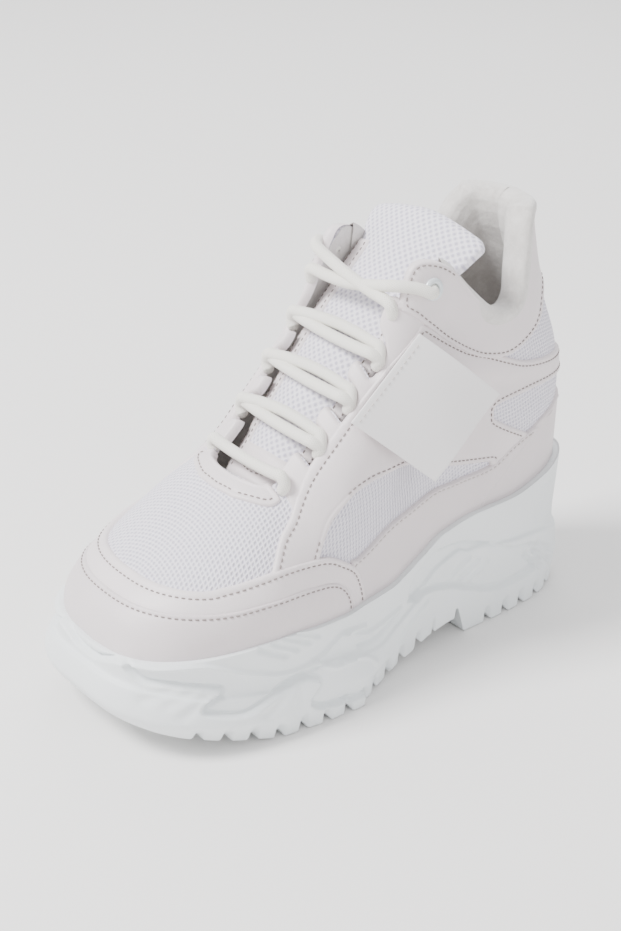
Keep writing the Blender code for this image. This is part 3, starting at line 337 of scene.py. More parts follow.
def merged(pieces):
    """Rows and faces of several pieces as one."""
    faces, start = [], 0
    for rows, some in pieces:
        faces += [tuple(i + start for i in face) for face in some]
        start += len(rows)
    return np.concatenate([rows for rows, _ in pieces]), faces


def ring(middle, across, up, sides, more=0):
    """Points round a middle, with the first ones again where more are asked for."""
    turn = 2 * math.pi * np.arange(sides + more)[:, None] / sides
    return middle + across * np.cos(turn) + up * np.sin(turn)


def weld(rows, faces):
    """Merge the points that two halves share."""
    seen, where, out = {}, [], []
    for i, key in enumerate(map(tuple, np.round(rows[:, :3] * 50).astype(int).tolist())):
        where.append(seen.setdefault(key, i))
    for face in faces:
        corners = tuple(dict.fromkeys(where[i] for i in face))
        if len(corners) > 2:
            out.append(corners)
    return rows, out


def soft(line, parts=5):
    """A smooth curve through a seam's points."""
    line = np.asarray(line, float)
    out = []
    for i in range(len(line) - 1):
        p0, p1 = line[max(i - 1, 0)], line[i]
        p2, p3 = line[i + 1], line[min(i + 2, len(line) - 1)]
        for k in range(parts):
            t = k / parts
            out.append(0.5 * (2 * p1 + (p2 - p0) * t + (2 * p0 - 5 * p1 + 4 * p2 - p3) * t * t
                              + (3 * p1 - p0 - 3 * p2 + p3) * t ** 3))
    out.append(line[-1])
    return np.array(out)


def seam(line, up=0.0, back=0.0):
    """A side-view seam in millimetres, moved by a share where asked for."""
    return side_view(soft(line)) + (back, up)


def distance(points, outline, closed=True):
    """Signed distance of flat points to an outline, more than 0 inside, or to an open line."""
    a = np.asarray(outline, float)
    a, b = (a, np.roll(a, -1, 0)) if closed else (a[:-1], a[1:])
    best = np.full(len(points), 1e9)
    inside = np.zeros(len(points), bool)
    for (ax, ay), (bx, by) in zip(a, b):
        ex, ey = bx - ax, by - ay
        size = ex * ex + ey * ey
        if size < 1e-12:
            continue
        wx, wy = points[:, 0] - ax, points[:, 1] - ay
        t = np.clip((wx * ex + wy * ey) / size, 0, 1)
        best = np.minimum(best, (wx - t * ex) ** 2 + (wy - t * ey) ** 2)
        if closed and ay != by:
            crosses = (ay > points[:, 1]) != (by > points[:, 1])
            inside ^= crosses & (points[:, 0] < ex * (points[:, 1] - ay) / ey + ax)
    best = np.sqrt(best)
    return np.where(inside, best, -best) if closed else best


def split(rows, faces, column, level, keep_low=True):
    """Cut faces along a level of a field; returns rows, faces and the cut's short edges."""
    value = rows[:, column] - level
    value[np.abs(value) < 1e-4] = 0
    value = value.tolist()
    extra, cache, high, low, cuts = [], {}, [], [], []
    base = len(rows)
    for face in faces:
        values = [value[i] for i in face]
        if min(values) >= 0:
            high.append(face)
            continue
        if max(values) <= 0:
            low.append(face)
            continue
        up, down, cut = [], [], []
        count = len(face)
        for i, a in enumerate(face):
            b = face[(i + 1) % count]
            va, vb = values[i], values[(i + 1) % count]
            if va >= 0:
                up.append(a)
            if va <= 0:
                down.append(a)
            if va == 0:
                cut.append(a)
            if va * vb < 0:
                key = (a, b) if a < b else (b, a)
                if key not in cache:
                    t = value[key[0]] / (value[key[0]] - value[key[1]])
                    cache[key] = base + len(extra)
                    extra.append(rows[key[0]] * (1 - t) + rows[key[1]] * t)
                for side in (up, down, cut):
                    side.append(cache[key])
        if len(up) > 2:
            high.append(tuple(up))
        if len(down) > 2:
            low.append(tuple(down))
        if len(cut) == 2:
            cuts.append(tuple(cut))
    if extra:
        rows = np.concatenate((rows, np.array(extra)))
    return rows, (high + low if keep_low else high), cuts


def make(name, points, faces, uv=None):
    """A mesh object from points in millimetres in the shoe's frame."""
    points = (np.asarray(points, float) + SHIFT) * 0.001
    used = sorted({i for face in faces for i in face})
    place = {old: new for new, old in enumerate(used)}
    mesh = bpy.data.meshes.new(name)
    mesh.from_pydata(points[used].tolist(), [], [[place[i] for i in face] for face in faces])
    if uv is not None:
        layer = mesh.uv_layers.new(name="UVMap")
        order = np.array([used[i] for i in (loop.vertex_index for loop in mesh.loops)])
        layer.data.foreach_set("uv", np.asarray(uv, float)[order].ravel())
    mesh.shade_smooth()
    mesh.validate()
    item = bpy.data.objects.new(name, mesh)
    bpy.context.scene.collection.objects.link(item)
    return item


def chains(cuts):
    """Short edges as paths of point numbers."""
    links = {}
    for a, b in cuts:
        links.setdefault(a, []).append(b)
        links.setdefault(b, []).append(a)
    left = set(links)
    paths = []
    while left:
        ends = [i for i in left if len(links[i]) == 1]
        start = min(ends) if ends else min(left)
        path = [start]
        left.discard(start)
        while True:
            following = [i for i in links[path[-1]] if i in left]
            if not following:
                break
            path.append(following[0])
            left.discard(following[0])
        paths.append(path)
    return paths


# Materials

def nodes_of(name, colour, roughness):
    """A new material, its node tree and its shader."""
    material = bpy.data.materials.new(name)
    material.use_nodes = True
    tree = material.node_tree
    shader = tree.nodes["Principled BSDF"]
    shader.inputs["Base Color"].default_value = (*colour, 1)
    shader.inputs["Roughness"].default_value = roughness
    return material, tree, shader


def maths(tree):
    """Makes maths nodes in a tree, fed by sockets or numbers."""
    def made(operation, *values):
        node = tree.nodes.new("ShaderNodeMath")
        node.operation = operation
        for socket, value in zip(node.inputs, values):
            if isinstance(value, (int, float)):
                socket.default_value = value
            else:
                tree.links.new(value, socket)
        return node.outputs[0]
    return made


def texture_place(tree):
    """A node with the places for textures."""
    return tree.nodes.new("ShaderNodeTexCoord")


def x_and_y(tree, vector):
    """The first two parts of a vector."""
    parts = tree.nodes.new("ShaderNodeSeparateXYZ")
    tree.links.new(vector, parts.inputs["Vector"])
    return parts.outputs["X"], parts.outputs["Y"]


def noise(tree, scale, detail=3.0, rough=0.5):
    """Cloudy noise in the object's own space."""
    node = tree.nodes.new("ShaderNodeTexNoise")
    for socket, value in (("Scale", scale), ("Detail", detail), ("Roughness", rough)):
        node.inputs[socket].default_value = value
    tree.links.new(texture_place(tree).outputs["Object"], node.inputs["Vector"])
    return node.outputs["Fac"]


def paint(tree, shader, factor, low, low_colour, high, high_colour):
    """The shader's colour: one colour up to low and another from high."""
    node = tree.nodes.new("ShaderNodeValToRGB")
    stops = (low, low_colour), (high, high_colour)
    for element, (stop, colour) in zip(node.color_ramp.elements, stops):
        element.position = stop
        element.color = (*colour, 1)
    tree.links.new(factor, node.inputs["Fac"])
    tree.links.new(node.outputs["Color"], shader.inputs["Base Color"])


def bump_from(tree, shader, height, strength, depth):
    """Fine relief of a surface from a height."""
    node = tree.nodes.new("ShaderNodeBump")
    node.inputs["Strength"].default_value = strength
    node.inputs["Distance"].default_value = depth
    tree.links.new(height, node.inputs["Height"])
    tree.links.new(node.outputs["Normal"], shader.inputs["Normal"])


def leather(name, colour, dark):
    """Smooth coated leather: fine pores, faint cloudy tone, and a soft shine."""
    material, tree, shader = nodes_of(name, colour, 0.46)
    do = maths(tree)
    cloud = noise(tree, 28.0, 4.0)
    paint(tree, shader, cloud, 0.35, dark, 0.65, colour)
    cells = tree.nodes.new("ShaderNodeTexVoronoi")
    cells.inputs["Scale"].default_value = 1500.0
    tree.links.new(texture_place(tree).outputs["Object"], cells.inputs["Vector"])
    grain = do("ADD", do("MULTIPLY", cells.outputs["Distance"], 0.6), noise(tree, 420.0, 5.0))
    bump_from(tree, shader, grain, 0.16, 0.0004)
    tree.links.new(do("ADD", do("MULTIPLY", cloud, 0.16), 0.38), shader.inputs["Roughness"])
    return material


def weave(name, thread, hole, pitch, turn=0.0):
    """Coarse mesh: raised crossing threads with shaded holes, laid out on the texture map."""
    material, tree, shader = nodes_of(name, thread, 0.78)
    do = maths(tree)
    mapping = tree.nodes.new("ShaderNodeMapping")
    mapping.inputs["Rotation"].default_value = (0, 0, math.radians(turn))
    tree.links.new(texture_place(tree).outputs["UV"], mapping.inputs["Vector"])
    across, along = [do("SINE", do("MULTIPLY", way, math.pi * 10 / pitch))
                     for way in x_and_y(tree, mapping.outputs["Vector"])]
    pit = do("MULTIPLY", do("POWER", do("ABSOLUTE", across), 1.3),
             do("POWER", do("ABSOLUTE", along), 1.3))
    height = do("SUBTRACT", do("MULTIPLY", do("MULTIPLY", across, along), 0.15), pit)
    fibre = do("MULTIPLY", noise(tree, 900.0, 4.0), 0.25)
    bump_from(tree, shader, do("ADD", height, fibre), 0.75, 0.0007)
    paint(tree, shader, pit, 0.30, thread, 0.85, hole)
    shader.inputs["Sheen Weight"].default_value = 0.15
    return material


def moulded(name, colour):
    """Matt moulded sole: slight mottling and a very fine skin."""
    material, tree, shader = nodes_of(name, colour, 0.5)
    shade = tuple(c * 0.965 for c in colour)
    paint(tree, shader, noise(tree, 22.0), 0.35, shade, 0.65, colour)
    bump_from(tree, shader, noise(tree, 700.0, 4.0), 0.10, 0.0003)
    return material


def fuzzy(name, colour, dark):
    """Soft brushed lining: short clumped nap."""
    material, tree, shader = nodes_of(name, colour, 0.95)
    do = maths(tree)
    both = do("ADD", *(do("MULTIPLY", nap, 0.6) for nap in (
        noise(tree, 330.0, 6.0, rough=0.7), noise(tree, 75.0, 4.0))))
    paint(tree, shader, both, 0.42, dark, 0.72, colour)
    bump_from(tree, shader, both, 0.75, 0.0012)
    shader.inputs["Sheen Weight"].default_value = 0.5
    shader.inputs["Sheen Roughness"].default_value = 0.6
    return material


def braid(name, colour, dark):
    """Round woven cord: plaited yarns crossing on a slant, from the texture map, with painted shade
    in the grooves between the yarns.
    """
    material, tree, shader = nodes_of(name, colour, 0.85)
    do = maths(tree)
    round_it, along = x_and_y(tree, texture_place(tree).outputs["UV"])
    turns = do("MULTIPLY", round_it, 2 * math.pi * 8)
    run = do("MULTIPLY", along, 2 * math.pi / 2.2)
    height = do("MAXIMUM", *(do("ABSOLUTE", do("SINE", do(slant, turns, run)))
                             for slant in ("ADD", "SUBTRACT")))
    fibre = do("MULTIPLY", noise(tree, 1100.0), 0.3)
    bump_from(tree, shader, do("ADD", height, fibre), 0.5, 0.0004)
    # The grooves between the yarns get the darker colour: painted shade.
    paint(tree, shader, height, 0.25, dark, 0.8, colour)
    shader.inputs["Sheen Weight"].default_value = 0.2
    return material


def plain(name, colour, roughness, metallic=0.0, grain=900.0, strength=0.08):
    """A smooth finish with a very fine surface."""
    material, tree, shader = nodes_of(name, colour, roughness)
    shader.inputs["Metallic"].default_value = metallic
    bump_from(tree, shader, noise(tree, grain), strength, 0.0002)
    return material


LEATHER_MAT = leather("leather_skin", (0.772, 0.703, 0.712), (0.732, 0.666, 0.675))
LEATHER_LOW = leather("leather_skin_grey", (0.705, 0.638, 0.648), (0.667, 0.603, 0.613))
MESH_MAT = weave("mesh_vamp", (0.82, 0.79, 0.86), (0.54, 0.51, 0.61), 2.0)
TONGUE_MAT = weave("mesh_tongue", (0.83, 0.80, 0.87), (0.52, 0.49, 0.60), 2.6, 45.0)
SOLE_MAT = moulded("moulded_sole", (0.80, 0.83, 0.84))
LINING_MAT = fuzzy("brushed_lining", (0.72, 0.69, 0.66), (0.56, 0.53, 0.50))
# The cord's second colour is the painted shade in the grooves between its yarns.
LACE_MAT = braid("woven_cord", (0.84, 0.82, 0.76), (0.66, 0.63, 0.57))
RING_MAT = plain("ring_enamel", (0.70, 0.75, 0.77), 0.3, 0.25)
LABEL_MAT = plain("label_cloth", (0.80, 0.775, 0.775), 0.62, 0.0, 1500.0, 0.2)
# Dark thread: its colour is the thread's own tone together with painted shade of the seam crevices
# and needle holes.
THREAD_AND_SHADE_MAT = plain("seam_thread_and_shade", (0.25, 0.21, 0.20), 0.8)
PALE_THREAD = plain("seam_thread_pale", (0.60, 0.55, 0.53), 0.8)


def place(item, material, slot, *replaced):
    """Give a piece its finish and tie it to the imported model."""
    if material is not None:
        item.data.materials.clear()
        item.data.materials.append(material)
    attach(item, "root")
    if replaced:
        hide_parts(*replaced)
    return item


# Leather panels

STITCHES = []   # both ends, outward direction, dark
STITCH_PITCH, STITCH_SHARE = 2.9, 0.62
PANEL_RIM, PANEL_FOOT = 0.8, -0.3   # width of a panel's rounded edge, and how deep it starts


def profile(d, thick, rim, foot):
    """Height of a panel over the last by the distance from its edge: a rounded rim."""
    t = np.clip(d / rim, 0, 1)
    return foot + (thick - foot) * np.sqrt(np.maximum(1 - (1 - t) ** 2, 0))


def stitch_along(rows, cuts, lift, test, dark=True):
    """Dashes of thread along a cut line, where the test on x, y, z allows them."""
    for path in chains(cuts):
        points = rows[path, :3] + rows[path, 3:6] * (lift + waves(rows[path, :3]))[:, None]
        if len(points) < 3:
            continue
        run = run_of(points)
        for k in range(int(run[-1] / STITCH_PITCH)):
            a, b = ((k + (1 + way * STITCH_SHARE) / 2) * STITCH_PITCH for way in (-1, 1))
            start, end = at_run(a, run, points), at_run(b, run, points)
            out = at_run((a + b) / 2, run, rows[path, 3:6])
            if test((start + end) / 2):
                STITCHES.append((start, end, unit(out), dark))


def trimmed(rows, faces, trim, levels=()):
    """Cut away what lies under one level of the distance, and lay edges along others."""
    rows, faces, _ = split(rows, faces, D, trim, False)
    for level in levels:
        rows, faces, _ = split(rows, faces, D, level)
    return rows, faces


def sheet(name, rows, faces, lift):
    """A patch as a mesh, lifted off the last."""
    points = rows[:, :3] + unit(rows[:, 3:6]) * lift[:, None]
    return make(name, points, faces, rows[:, 6:8])


def sewn(rows, faces, seam_line, thick):
    """Lay a panel's stitches: distance inward from the edge, test of place, and dark or pale."""
    if seam_line:
        inward, test, dark = seam_line
        rows, faces, _ = split(rows, faces, D, inward - 0.6)
        rows, faces, cuts = split(rows, faces, D, inward)
        rows, faces, _ = split(rows, faces, D, inward + 0.6)
        rows[:, 3:6] = unit(rows[:, 3:6])
        stitch_along(rows, cuts, thick + 0.05, test, dark)
    return rows, faces


def panel(node, rows, faces, outline, thick, sew=None, material=None, grow=0.0):
    """A leather sheet for a node, cut to a side-view outline, with a rolled rim."""
    rows = np.column_stack((rows, side_field(outline)(rows) + grow))
    rows, faces = trimmed(rows, faces, 0.0, (0.1 * PANEL_RIM, 0.4 * PANEL_RIM, PANEL_RIM, 2.0))
    rows, faces = sewn(rows, faces, sew, thick)
    d = rows[:, D]
    lift = profile(d, thick, PANEL_RIM, PANEL_FOOT)
    if sew:
        lift -= 0.22 * bump(d, sew[0], 0.55)
        lift += 0.12 * bump(d, sew[0] - 1.3, 0.8) * (d > PANEL_RIM)
    lift += waves(rows[:, :3]) * ease(d / 3.0)
    item = sheet(node + "_panel", rows, faces, lift)
    place(item, material or LEATHER_MAT, "leather", node)


def side_field(outline):
    """Distance inward from a side-view outline."""
    return lambda rows: distance(rows[:, 1:3], outline)


def plan_field(outline, way=1):
    """Distance inward from an outline seen from above, or outward with way at -1."""
    return lambda rows: way * distance(rows[:, 0:2], outline)


def everywhere(_):
    """Test that lets every stitch through."""
    return True


NOTCH_HALF, NOTCH_CORNER = 4.4, 2.2


def throat_plan(widen, notches=False, reach_more=0.0):
    """Plan outline of the throat, with a rounded notch at each lace row where asked for."""
    halves = []
    for side in (1, -1):
        half = (soft(THROAT, 6) * (LENGTH, THROAT_WIDTH / 2) + (TOE_BUMPER, widen)).tolist()
        for y, _, reach, _ in LACE_ROWS[1:] if notches else ():
            middle = TOE_BUMPER + y * LENGTH
            deep = reach + side * SLOT_SHIFT + 1.2 + reach_more
            before = [p for p in half if p[0] < middle - NOTCH_HALF - NOTCH_CORNER]
            after = [p for p in half if p[0] > middle + NOTCH_HALF + NOTCH_CORNER]
            low, high = before[-1][1], after[0][1]
            corner = [(NOTCH_HALF + NOTCH_CORNER * (1 - math.sin(a)),
                       NOTCH_CORNER * (1 - math.cos(a))) for a in np.linspace(0, math.pi / 2, 5)]
            end = [(middle - NOTCH_HALF * math.cos(a) * 0.98,
                    deep - 3.0 + 3.0 * math.sin(a) ** 0.7)
                   for a in (math.pi * k / 10 for k in range(11))]
            half = (before + [(middle - along, low + out) for along, out in corner] + end
                    + [(middle + along, high + out) for along, out in corner[::-1]] + after)
        halves.append([(side * x, y) for y, x in half])
    return np.array(halves[0] + halves[1][::-1])


# The upper's base and its panels

def collar_side():
    """Side-view outline of what lies over the collar line."""
    return np.concatenate((seam(COLLAR_LINE), [(310, 300), (TOE_BUMPER + 0.44 * LENGTH, 300)]))


def below(line_points, rows):
    """Distance under an open side-view line, less than 0 above it."""
    closed = np.concatenate((line_points, [(line_points[-1][0], 400), (line_points[0][0], 400)]))
    far = distance(rows[:, 1:3], line_points, False)
    above = distance(rows[:, 1:3], closed) > 0
    return np.where(above, -far, far)


def near(line, reach):
    """Test for closeness to a side-view line."""
    points = seam(line)
    return lambda p: distance(np.array([[p[1], p[2]]]), points, False)[0] < reach


def base_upper():
    """The knitted base under the panels, lined inside and cut open at the throat and collar."""
    rows, faces = patch("ring", 0, END, 0, 1, 1.9, drop=5.0)
    opening = -distance(rows[:, 0:2], throat_plan(1.0, True, 0.8))
    opening[rows[:, 2] < 70] = 50
    d = np.minimum(opening, -distance(rows[:, 1:3], collar_side()) - 0.3)
    rows, faces = trimmed(np.column_stack((rows, d)), faces, 0.0)
    item = sheet("upper_knit", rows, faces, waves(rows[:, :3]) * 0.9)
    place(item, MESH_MAT, "mesh", "upper")
    item.data.materials.append(LINING_MAT)
    wall = item.modifiers.new("wall", "SOLIDIFY")
    wall.thickness, wall.offset, wall.material_offset = WALL * 0.001, -1, 1


def floor_of(first, final):
    """Two points far down, that close an outline below."""
    return [(TOE_BUMPER + along * LENGTH, 20.0) for along in (first, final)]


def toe_panels():
    """The band and the rand of the toe cap."""
    rows, faces = patch("ring", 0, 11.4, 0, 1, 1.3, drop=2.5)
    band = np.concatenate((seam(INNER_SEAM), floor_of(0.431, 0.385), seam(OUTER_SEAM, -3.0)[::-1]))
    panel("toe_band", rows, faces, band, 2.15, (2.6, near(INNER_SEAM, 3.4), True))
    rand = np.concatenate((seam(OUTER_SEAM), floor_of(0.393, -0.1)))
    panel("toe_rand", rows, faces, rand, 2.6, (1.9, near(OUTER_SEAM, 2.6), True), LEATHER_LOW)


def deep_edge(field, other):
    """1 where a field's own edge is the nearest, for a rim that rolls right over."""
    return ease((other - field + 1.0) / 2.0)


def rolled(node, rows, faces, open_field, field, thick, deep, sew=None, rim=1.6):
    """A panel for a node, whose edge on one field rolls over the cut wall of the upper."""
    a, b = open_field(rows), field(rows)
    rows = np.column_stack((rows, np.minimum(a, b), a, b))
    rows, faces = trimmed(rows, faces, 0.0, (0.08, 0.25, 0.55, 1.0, rim, rim + 0.8))
    rows, faces = sewn(rows, faces, sew, thick)
    d = rows[:, D]
    over = deep_edge(rows[:, D + 1], rows[:, D + 2])
    lift = (profile(d, thick, PANEL_RIM, PANEL_FOOT) * (1 - over)
            + profile(d, thick, rim, -deep) * over)
    if sew:
        lift -= 0.2 * bump(d, sew[0], 0.55)
    lift += waves(rows[:, :3]) * ease(d / 3.0)
    place(sheet(node + "_panel", rows, faces, lift), LEATHER_MAT, "leather", node)


def throat_strips():
    """The lip at the foot of the throat and the notched eyestays."""
    rows, faces = patch("ring", 6.4, 8.7, 0.35, 1.0, 1.0)
    half = soft(LIP, 6)[:, ::-1] * (THROAT_WIDTH / 2, LENGTH) + (0, TOE_BUMPER)
    outline = np.concatenate((half, half[:0:-1] * (-1, 1)))
    lip_edge = lambda p: distance(np.array([[p[1], abs(p[0])]]), half[:, ::-1], False)[0] < 2.8
    rolled("throat_lip", rows, faces, plan_field(throat_plan(-1.2), -1), plan_field(outline),
           1.35, 2.6, (2.3, lip_edge, True), 1.2)
    throat = plan_field(throat_plan(-1.6, True), -1)
    front = TOE_BUMPER + 0.298 * LENGTH   # the eyestays keep off the very front of the throat
    outline = np.concatenate((side_view(EYESTAY_FRONT), seam(QUARTER_FRONT[2:], 0, 3.5)[::-1]))
    for word in ("lateral", "medial"):
        rows, faces = patch(word, 7.4, 12.7, 0.3, 1.0, 0.9)
        rolled("eyestay_" + word, rows, faces,
               lambda rows: np.minimum(throat(rows), rows[:, 1] - front),
               side_field(outline), 1.15, 3.0)


def side_panels():
    """The quarters with their heel window, the foxings and the heel counter."""
    quarter = np.concatenate((
        seam(QUARTER_FRONT), seam(QUARTER_UNDER_COLLAR), seam(HEEL_WINDOW),
        side_view(UNDER_FOXING), seam(QUARTER_LOW), side_view(UNDER_BAND)))
    foxing = np.concatenate((seam(FOXING_TOP), seam(COUNTER_SEAM)[::-1], side_view(FOXING_FLOOR)))
    edges = [near(line, reach) for line, reach in (
        (QUARTER_FRONT, 3.6), (QUARTER_LOW, 3.0), (QUARTER_TOP, 3.2), (HEEL_WINDOW, 3.0))]
    clear = lambda p: p[2] > 0.372 * COLLAR_BACK and any(edge(p) for edge in edges)
    top = near(FOXING_TOP, 2.4)
    behind_cap = lambda p: top(p) and p[1] > 112
    for word in ("lateral", "medial"):
        rows, faces = patch(word, 6.0, END, 0.0, 0.95, 1.25, drop=2.5)
        panel("quarter_" + word, rows, faces, quarter, 1.55, (2.5, clear, True))
        panel("foxing_" + word, rows, faces, foxing, 1.95, (1.7, behind_cap, False), LEATHER_LOW)
    rows, faces = patch("heel", 13.4, END, 0.0, 0.36, 1.4, drop=2.5)
    heel = np.concatenate((seam(COUNTER_SEAM), [(320, 20), (TOE_BUMPER + 0.722 * LENGTH, 20)]))
    panel("heel_counter", rows, faces, heel, 1.45, None, LEATHER_LOW, 3.0)


# The lining's height off the last, by the distance below the collar line: outside and inside.
PAD_OUT = (-1.7, -1.45, -1.0, 0.0, 1.6, 3.4, 5.0, 6.2, 7.0)
PAD_OUT_LIFT = (-2.6, 0.0, 1.5, 2.7, 3.5, 3.5, 3.0, 2.2, 1.0)
PAD_IN = (-1.7, -1.45, -1.0, 0.5, 3.0, 8.0, 15.0, 24.0, 34.0, 46.0)
PAD_IN_LIFT = (-2.6, -4.6, -6.4, -8.6, -10.0, -10.6, -9.8, -7.6, -5.0, -2.9)


def collar_band():
    """The leather band below the collar, rolled over its edge."""
    line = seam(COLLAR_LINE)
    rows, faces = patch("heel", 11.0, END, 0.35, 1.0, 1.25)
    outline = side_field(np.concatenate((seam(COLLAR_SEAM)[::-1], seam(COLLAR_LINE[2:]))))
    low, flap = near(COLLAR_SEAM, 3.2), near(COLLAR_LINE[1:8], 2.6)
    test = lambda p: low(p) or (flap(p) and p[1] < TOE_BUMPER + 0.66 * LENGTH)
    throat = plan_field(throat_plan(-1.2), -1)
    rolled("collar_band", rows, faces,
           lambda rows: np.minimum(below(line, rows), throat(rows)),
           lambda rows: (outline(rows) * (below(line, rows) > 2.0)
                         + 50.0 * (below(line, rows) <= 2.0) * side_under(rows)),
           2.05, 2.6, (2.3, test, True))


def collar_lining():
    """The padded lining, over the collar's edge and down inside."""
    line = seam(COLLAR_LINE)
    pad_rows, pad_faces = patch("heel", 12.9, END, 0.3, 1.0, 1.15)
    pad_rows = np.column_stack((pad_rows, below(line, pad_rows)))
    halves = []
    for levels, lifts, flat, way in ((PAD_OUT, PAD_OUT_LIFT, 0.6, 1),
                                     (PAD_IN, PAD_IN_LIFT, -3.2, -1)):
        rows, faces = trimmed(pad_rows, pad_faces, levels[0])
        rows[:, D] *= -1
        rows, faces = trimmed(rows, faces, -levels[-1])
        rows[:, D] *= -1
        rows, faces = trimmed(rows, faces, levels[0], levels[1:-1])
        full = ease(((rows[:, 1] - TOE_BUMPER) / LENGTH - 0.662) / 0.05)
        flat = np.interp(rows[:, D], (PAD_OUT[0], 1.0), (PAD_OUT_LIFT[0], flat))
        lift = flat * (1 - full) + np.interp(rows[:, D], levels, lifts) * full
        lumps = 0.35 * np.sin(rows[:, 6] * 1.7) * np.sin(rows[:, 7] * 1.3 + 1.0)
        lift += lumps * ease(rows[:, D] / 3.0) * full
        halves.append((np.column_stack((rows[:, :D], lift)), [face[::way] for face in faces]))
    rows, faces = merged(halves)
    pad = place(sheet("collar_lining", rows, faces, rows[:, D]), LINING_MAT, "lining")


def side_under(rows):
    """1 behind the front of the collar flap and over the collar seam."""
    line = seam(COLLAR_SEAM)
    return (below(line, rows) < 0).astype(float) * (rows[:, 1] > TOE_BUMPER + 0.51 * LENGTH)


# The sole

RELIEF_EDGE = ((6.8, 38), (19.8, 43), (22.2, 39.5), (27.4, 35.2), (38.7, 33.6), (57.3, 29.4),
               (50.8, 25.9), (49, 23.2), (51.5, 20.8), (65.6, 17.1), (76.1, 19.9), (92.7, 24.3),
               (102.5, 21.2), (96.8, 15), (98.4, 10.5), (106.5, 7), (128.6, 4.2))
HEEL_PANEL_TOP = ((166.4, 32.7), (169.1, 44.3), (180.3, 52.4), (195.4, 52.9), (207, 49.8),
                  (223.9, 43.5), (238.2, 37.1), (252.9, 33.5), (262.7, 27))
HEEL_PANEL_LOW = ((171.8, 31.2), (176.7, 33.7), (189.7, 30.9), (207.5, 24.1), (224.5, 16.9),
                  (239.9, 15.1), (256.8, 16.2), (262.7, 20.2))
# Lines of the moulding: points along the edge from the toe tip and up, half width, height.
RELIEF_LINES = (
    (((22.4, 42.4), (31.9, 41.9), (50.8, 42.4), (70.8, 34.1), (87.3, 28.9), (102.9, 29.2),
      (119.9, 36), (134.8, 33.5)), 1.0, 1.0),
    (((102.9, 29.2), (108.4, 25.6), (114.6, 23.4), (123.6, 23.5)), 1.0, 1.0),
    (((74.6, 45.1), (87.6, 37.6)), 1.2, -1.1), (((81.1, 45.9), (93.5, 38.7)), 1.2, -1.1),
    (((86.9, 46.4), (100.1, 39.7)), 1.2, -1.1), (((93.5, 46.1), (105.3, 41.1)), 1.2, -1.1),
    (((45.6, 31.2), (37.3, 27.2)), 2.4, -0.6), (((50.1, 28.2), (42.8, 22.5)), 2.4, -0.6),
    (((87.3, 22.6), (75.7, 15.8)), 2.4, -0.6), (((92.3, 22.3), (89.5, 10.8)), 2.4, -0.6),
    (((38.7, 32.7), (29, 29)), 2.4, -0.6),
    (((197.3, 33.5), (208.1, 40.1)), 1.4, 1.1), (((205, 30), (215.3, 36.3)), 1.4, 1.1),
    (((212.4, 27.3), (222.7, 32.7)), 1.4, 1.1),
    (((251.3, 26.3), (265.3, 13.2)), 1.5, -1.3), (((256.8, 27.3), (273.7, 13.3)), 1.5, -1.3),
    (((256.8, 31.3), (274.1, 19.9)), 1.5, -1.3),
    (((121, 35.8), (135.2, 29.3), (148.7, 29.5), (159.8, 32.3)), 1.1, 1.0),
    (((130.1, 25.9), (144.5, 23.4), (157.5, 28), (161.2, 31.7)), 1.1, -1.0),
    (((138.9, 14.9), (129.7, 21.9), (118.8, 24.6)), 1.1, 1.0),
    (((153.9, 4.4), (159.3, 15.6), (167.3, 22.4), (178.3, 28.5)), 1.2, 1.1),
)
WALL_ROWS, RIM_ROWS = 96, 9   # rows down the wall, and those of them on the rim's top
WAIST = (12.9, 14.35)   # places along LAST with no lugs
TREAD_ENDS = (25, 245)   # the tread's middle line runs between these
FIRST_LUG = 40.0   # the toe bumper is smooth in front of this place along the edge
NOTCH_FRONT, NOTCH_BACK, NOTCH_TOP = 182.8, 190.2, 15.0


def relief(run, z):
    """Height of the moulded lines over the plain wall."""
    flat = np.stack((run, z), -1)
    shell = np.concatenate((soft(RELIEF_EDGE, 3), [(128.6, -9), (-9, -9), (-9, 38)]))
    inside = distance(flat, shell)
    lift = 2.6 * ease((inside + 0.45) / 0.9) - 1.5 * bump(inside, -1.2, 0.8)
    heel = np.concatenate((soft(HEEL_PANEL_TOP, 3), soft(HEEL_PANEL_LOW, 3)[::-1]))
    inside = distance(flat, heel)
    lift -= 2.4 * ease((inside + 0.45) / 0.9) + 1.1 * bump(inside, 1.2, 0.8)
    for line, half, height in RELIEF_LINES:
        away = distance(flat, soft(line, 4), False)
        lift += 1.7 * height * bump(away, 0, half)
    return lift


def smooth_rows(shape, count):
    """Profiles (points, columns) run through a smooth curve and spaced evenly."""
    fine = soft(shape, 6)
    run = run_of(fine)
    return np.stack([at_run(np.linspace(0, run[-1, i], count), run[:, i], fine[:, i])
                     for i in range(fine.shape[1])], 1)


def wall_profile(top, under, flare, ledge, tuck):
    """Reach from the upper's edge and height, in rows down the rim, step and wall."""
    tall = top - under
    step = SEAT + np.maximum(0.45 * flare, 0.6 * RIM)
    shape = np.array([np.broadcast_arrays(*pair) for pair in (
        (0.8, top - 6), (0.8, top - 0.9), (SEAT + 0.55 * RIM, top - 0.1),
        (SEAT + 0.80 * RIM, top - 1.2),
        (SEAT + np.maximum(0.30 * flare, 0.6 * RIM), under + tall * (0.3 + 0.7 * ledge)),
        (step, under + tall * (ledge + 0.04)), (step + 1.8, under + tall * ledge),
        (SEAT + flare, under + tall * ledge * 0.62), (SEAT + flare * 0.96, under + tall * 0.20),
        (SEAT + flare * (1 - tuck), under))])
    return np.moveaxis(smooth_rows(shape.transpose(0, 2, 1), WALL_ROWS), -1, 0)


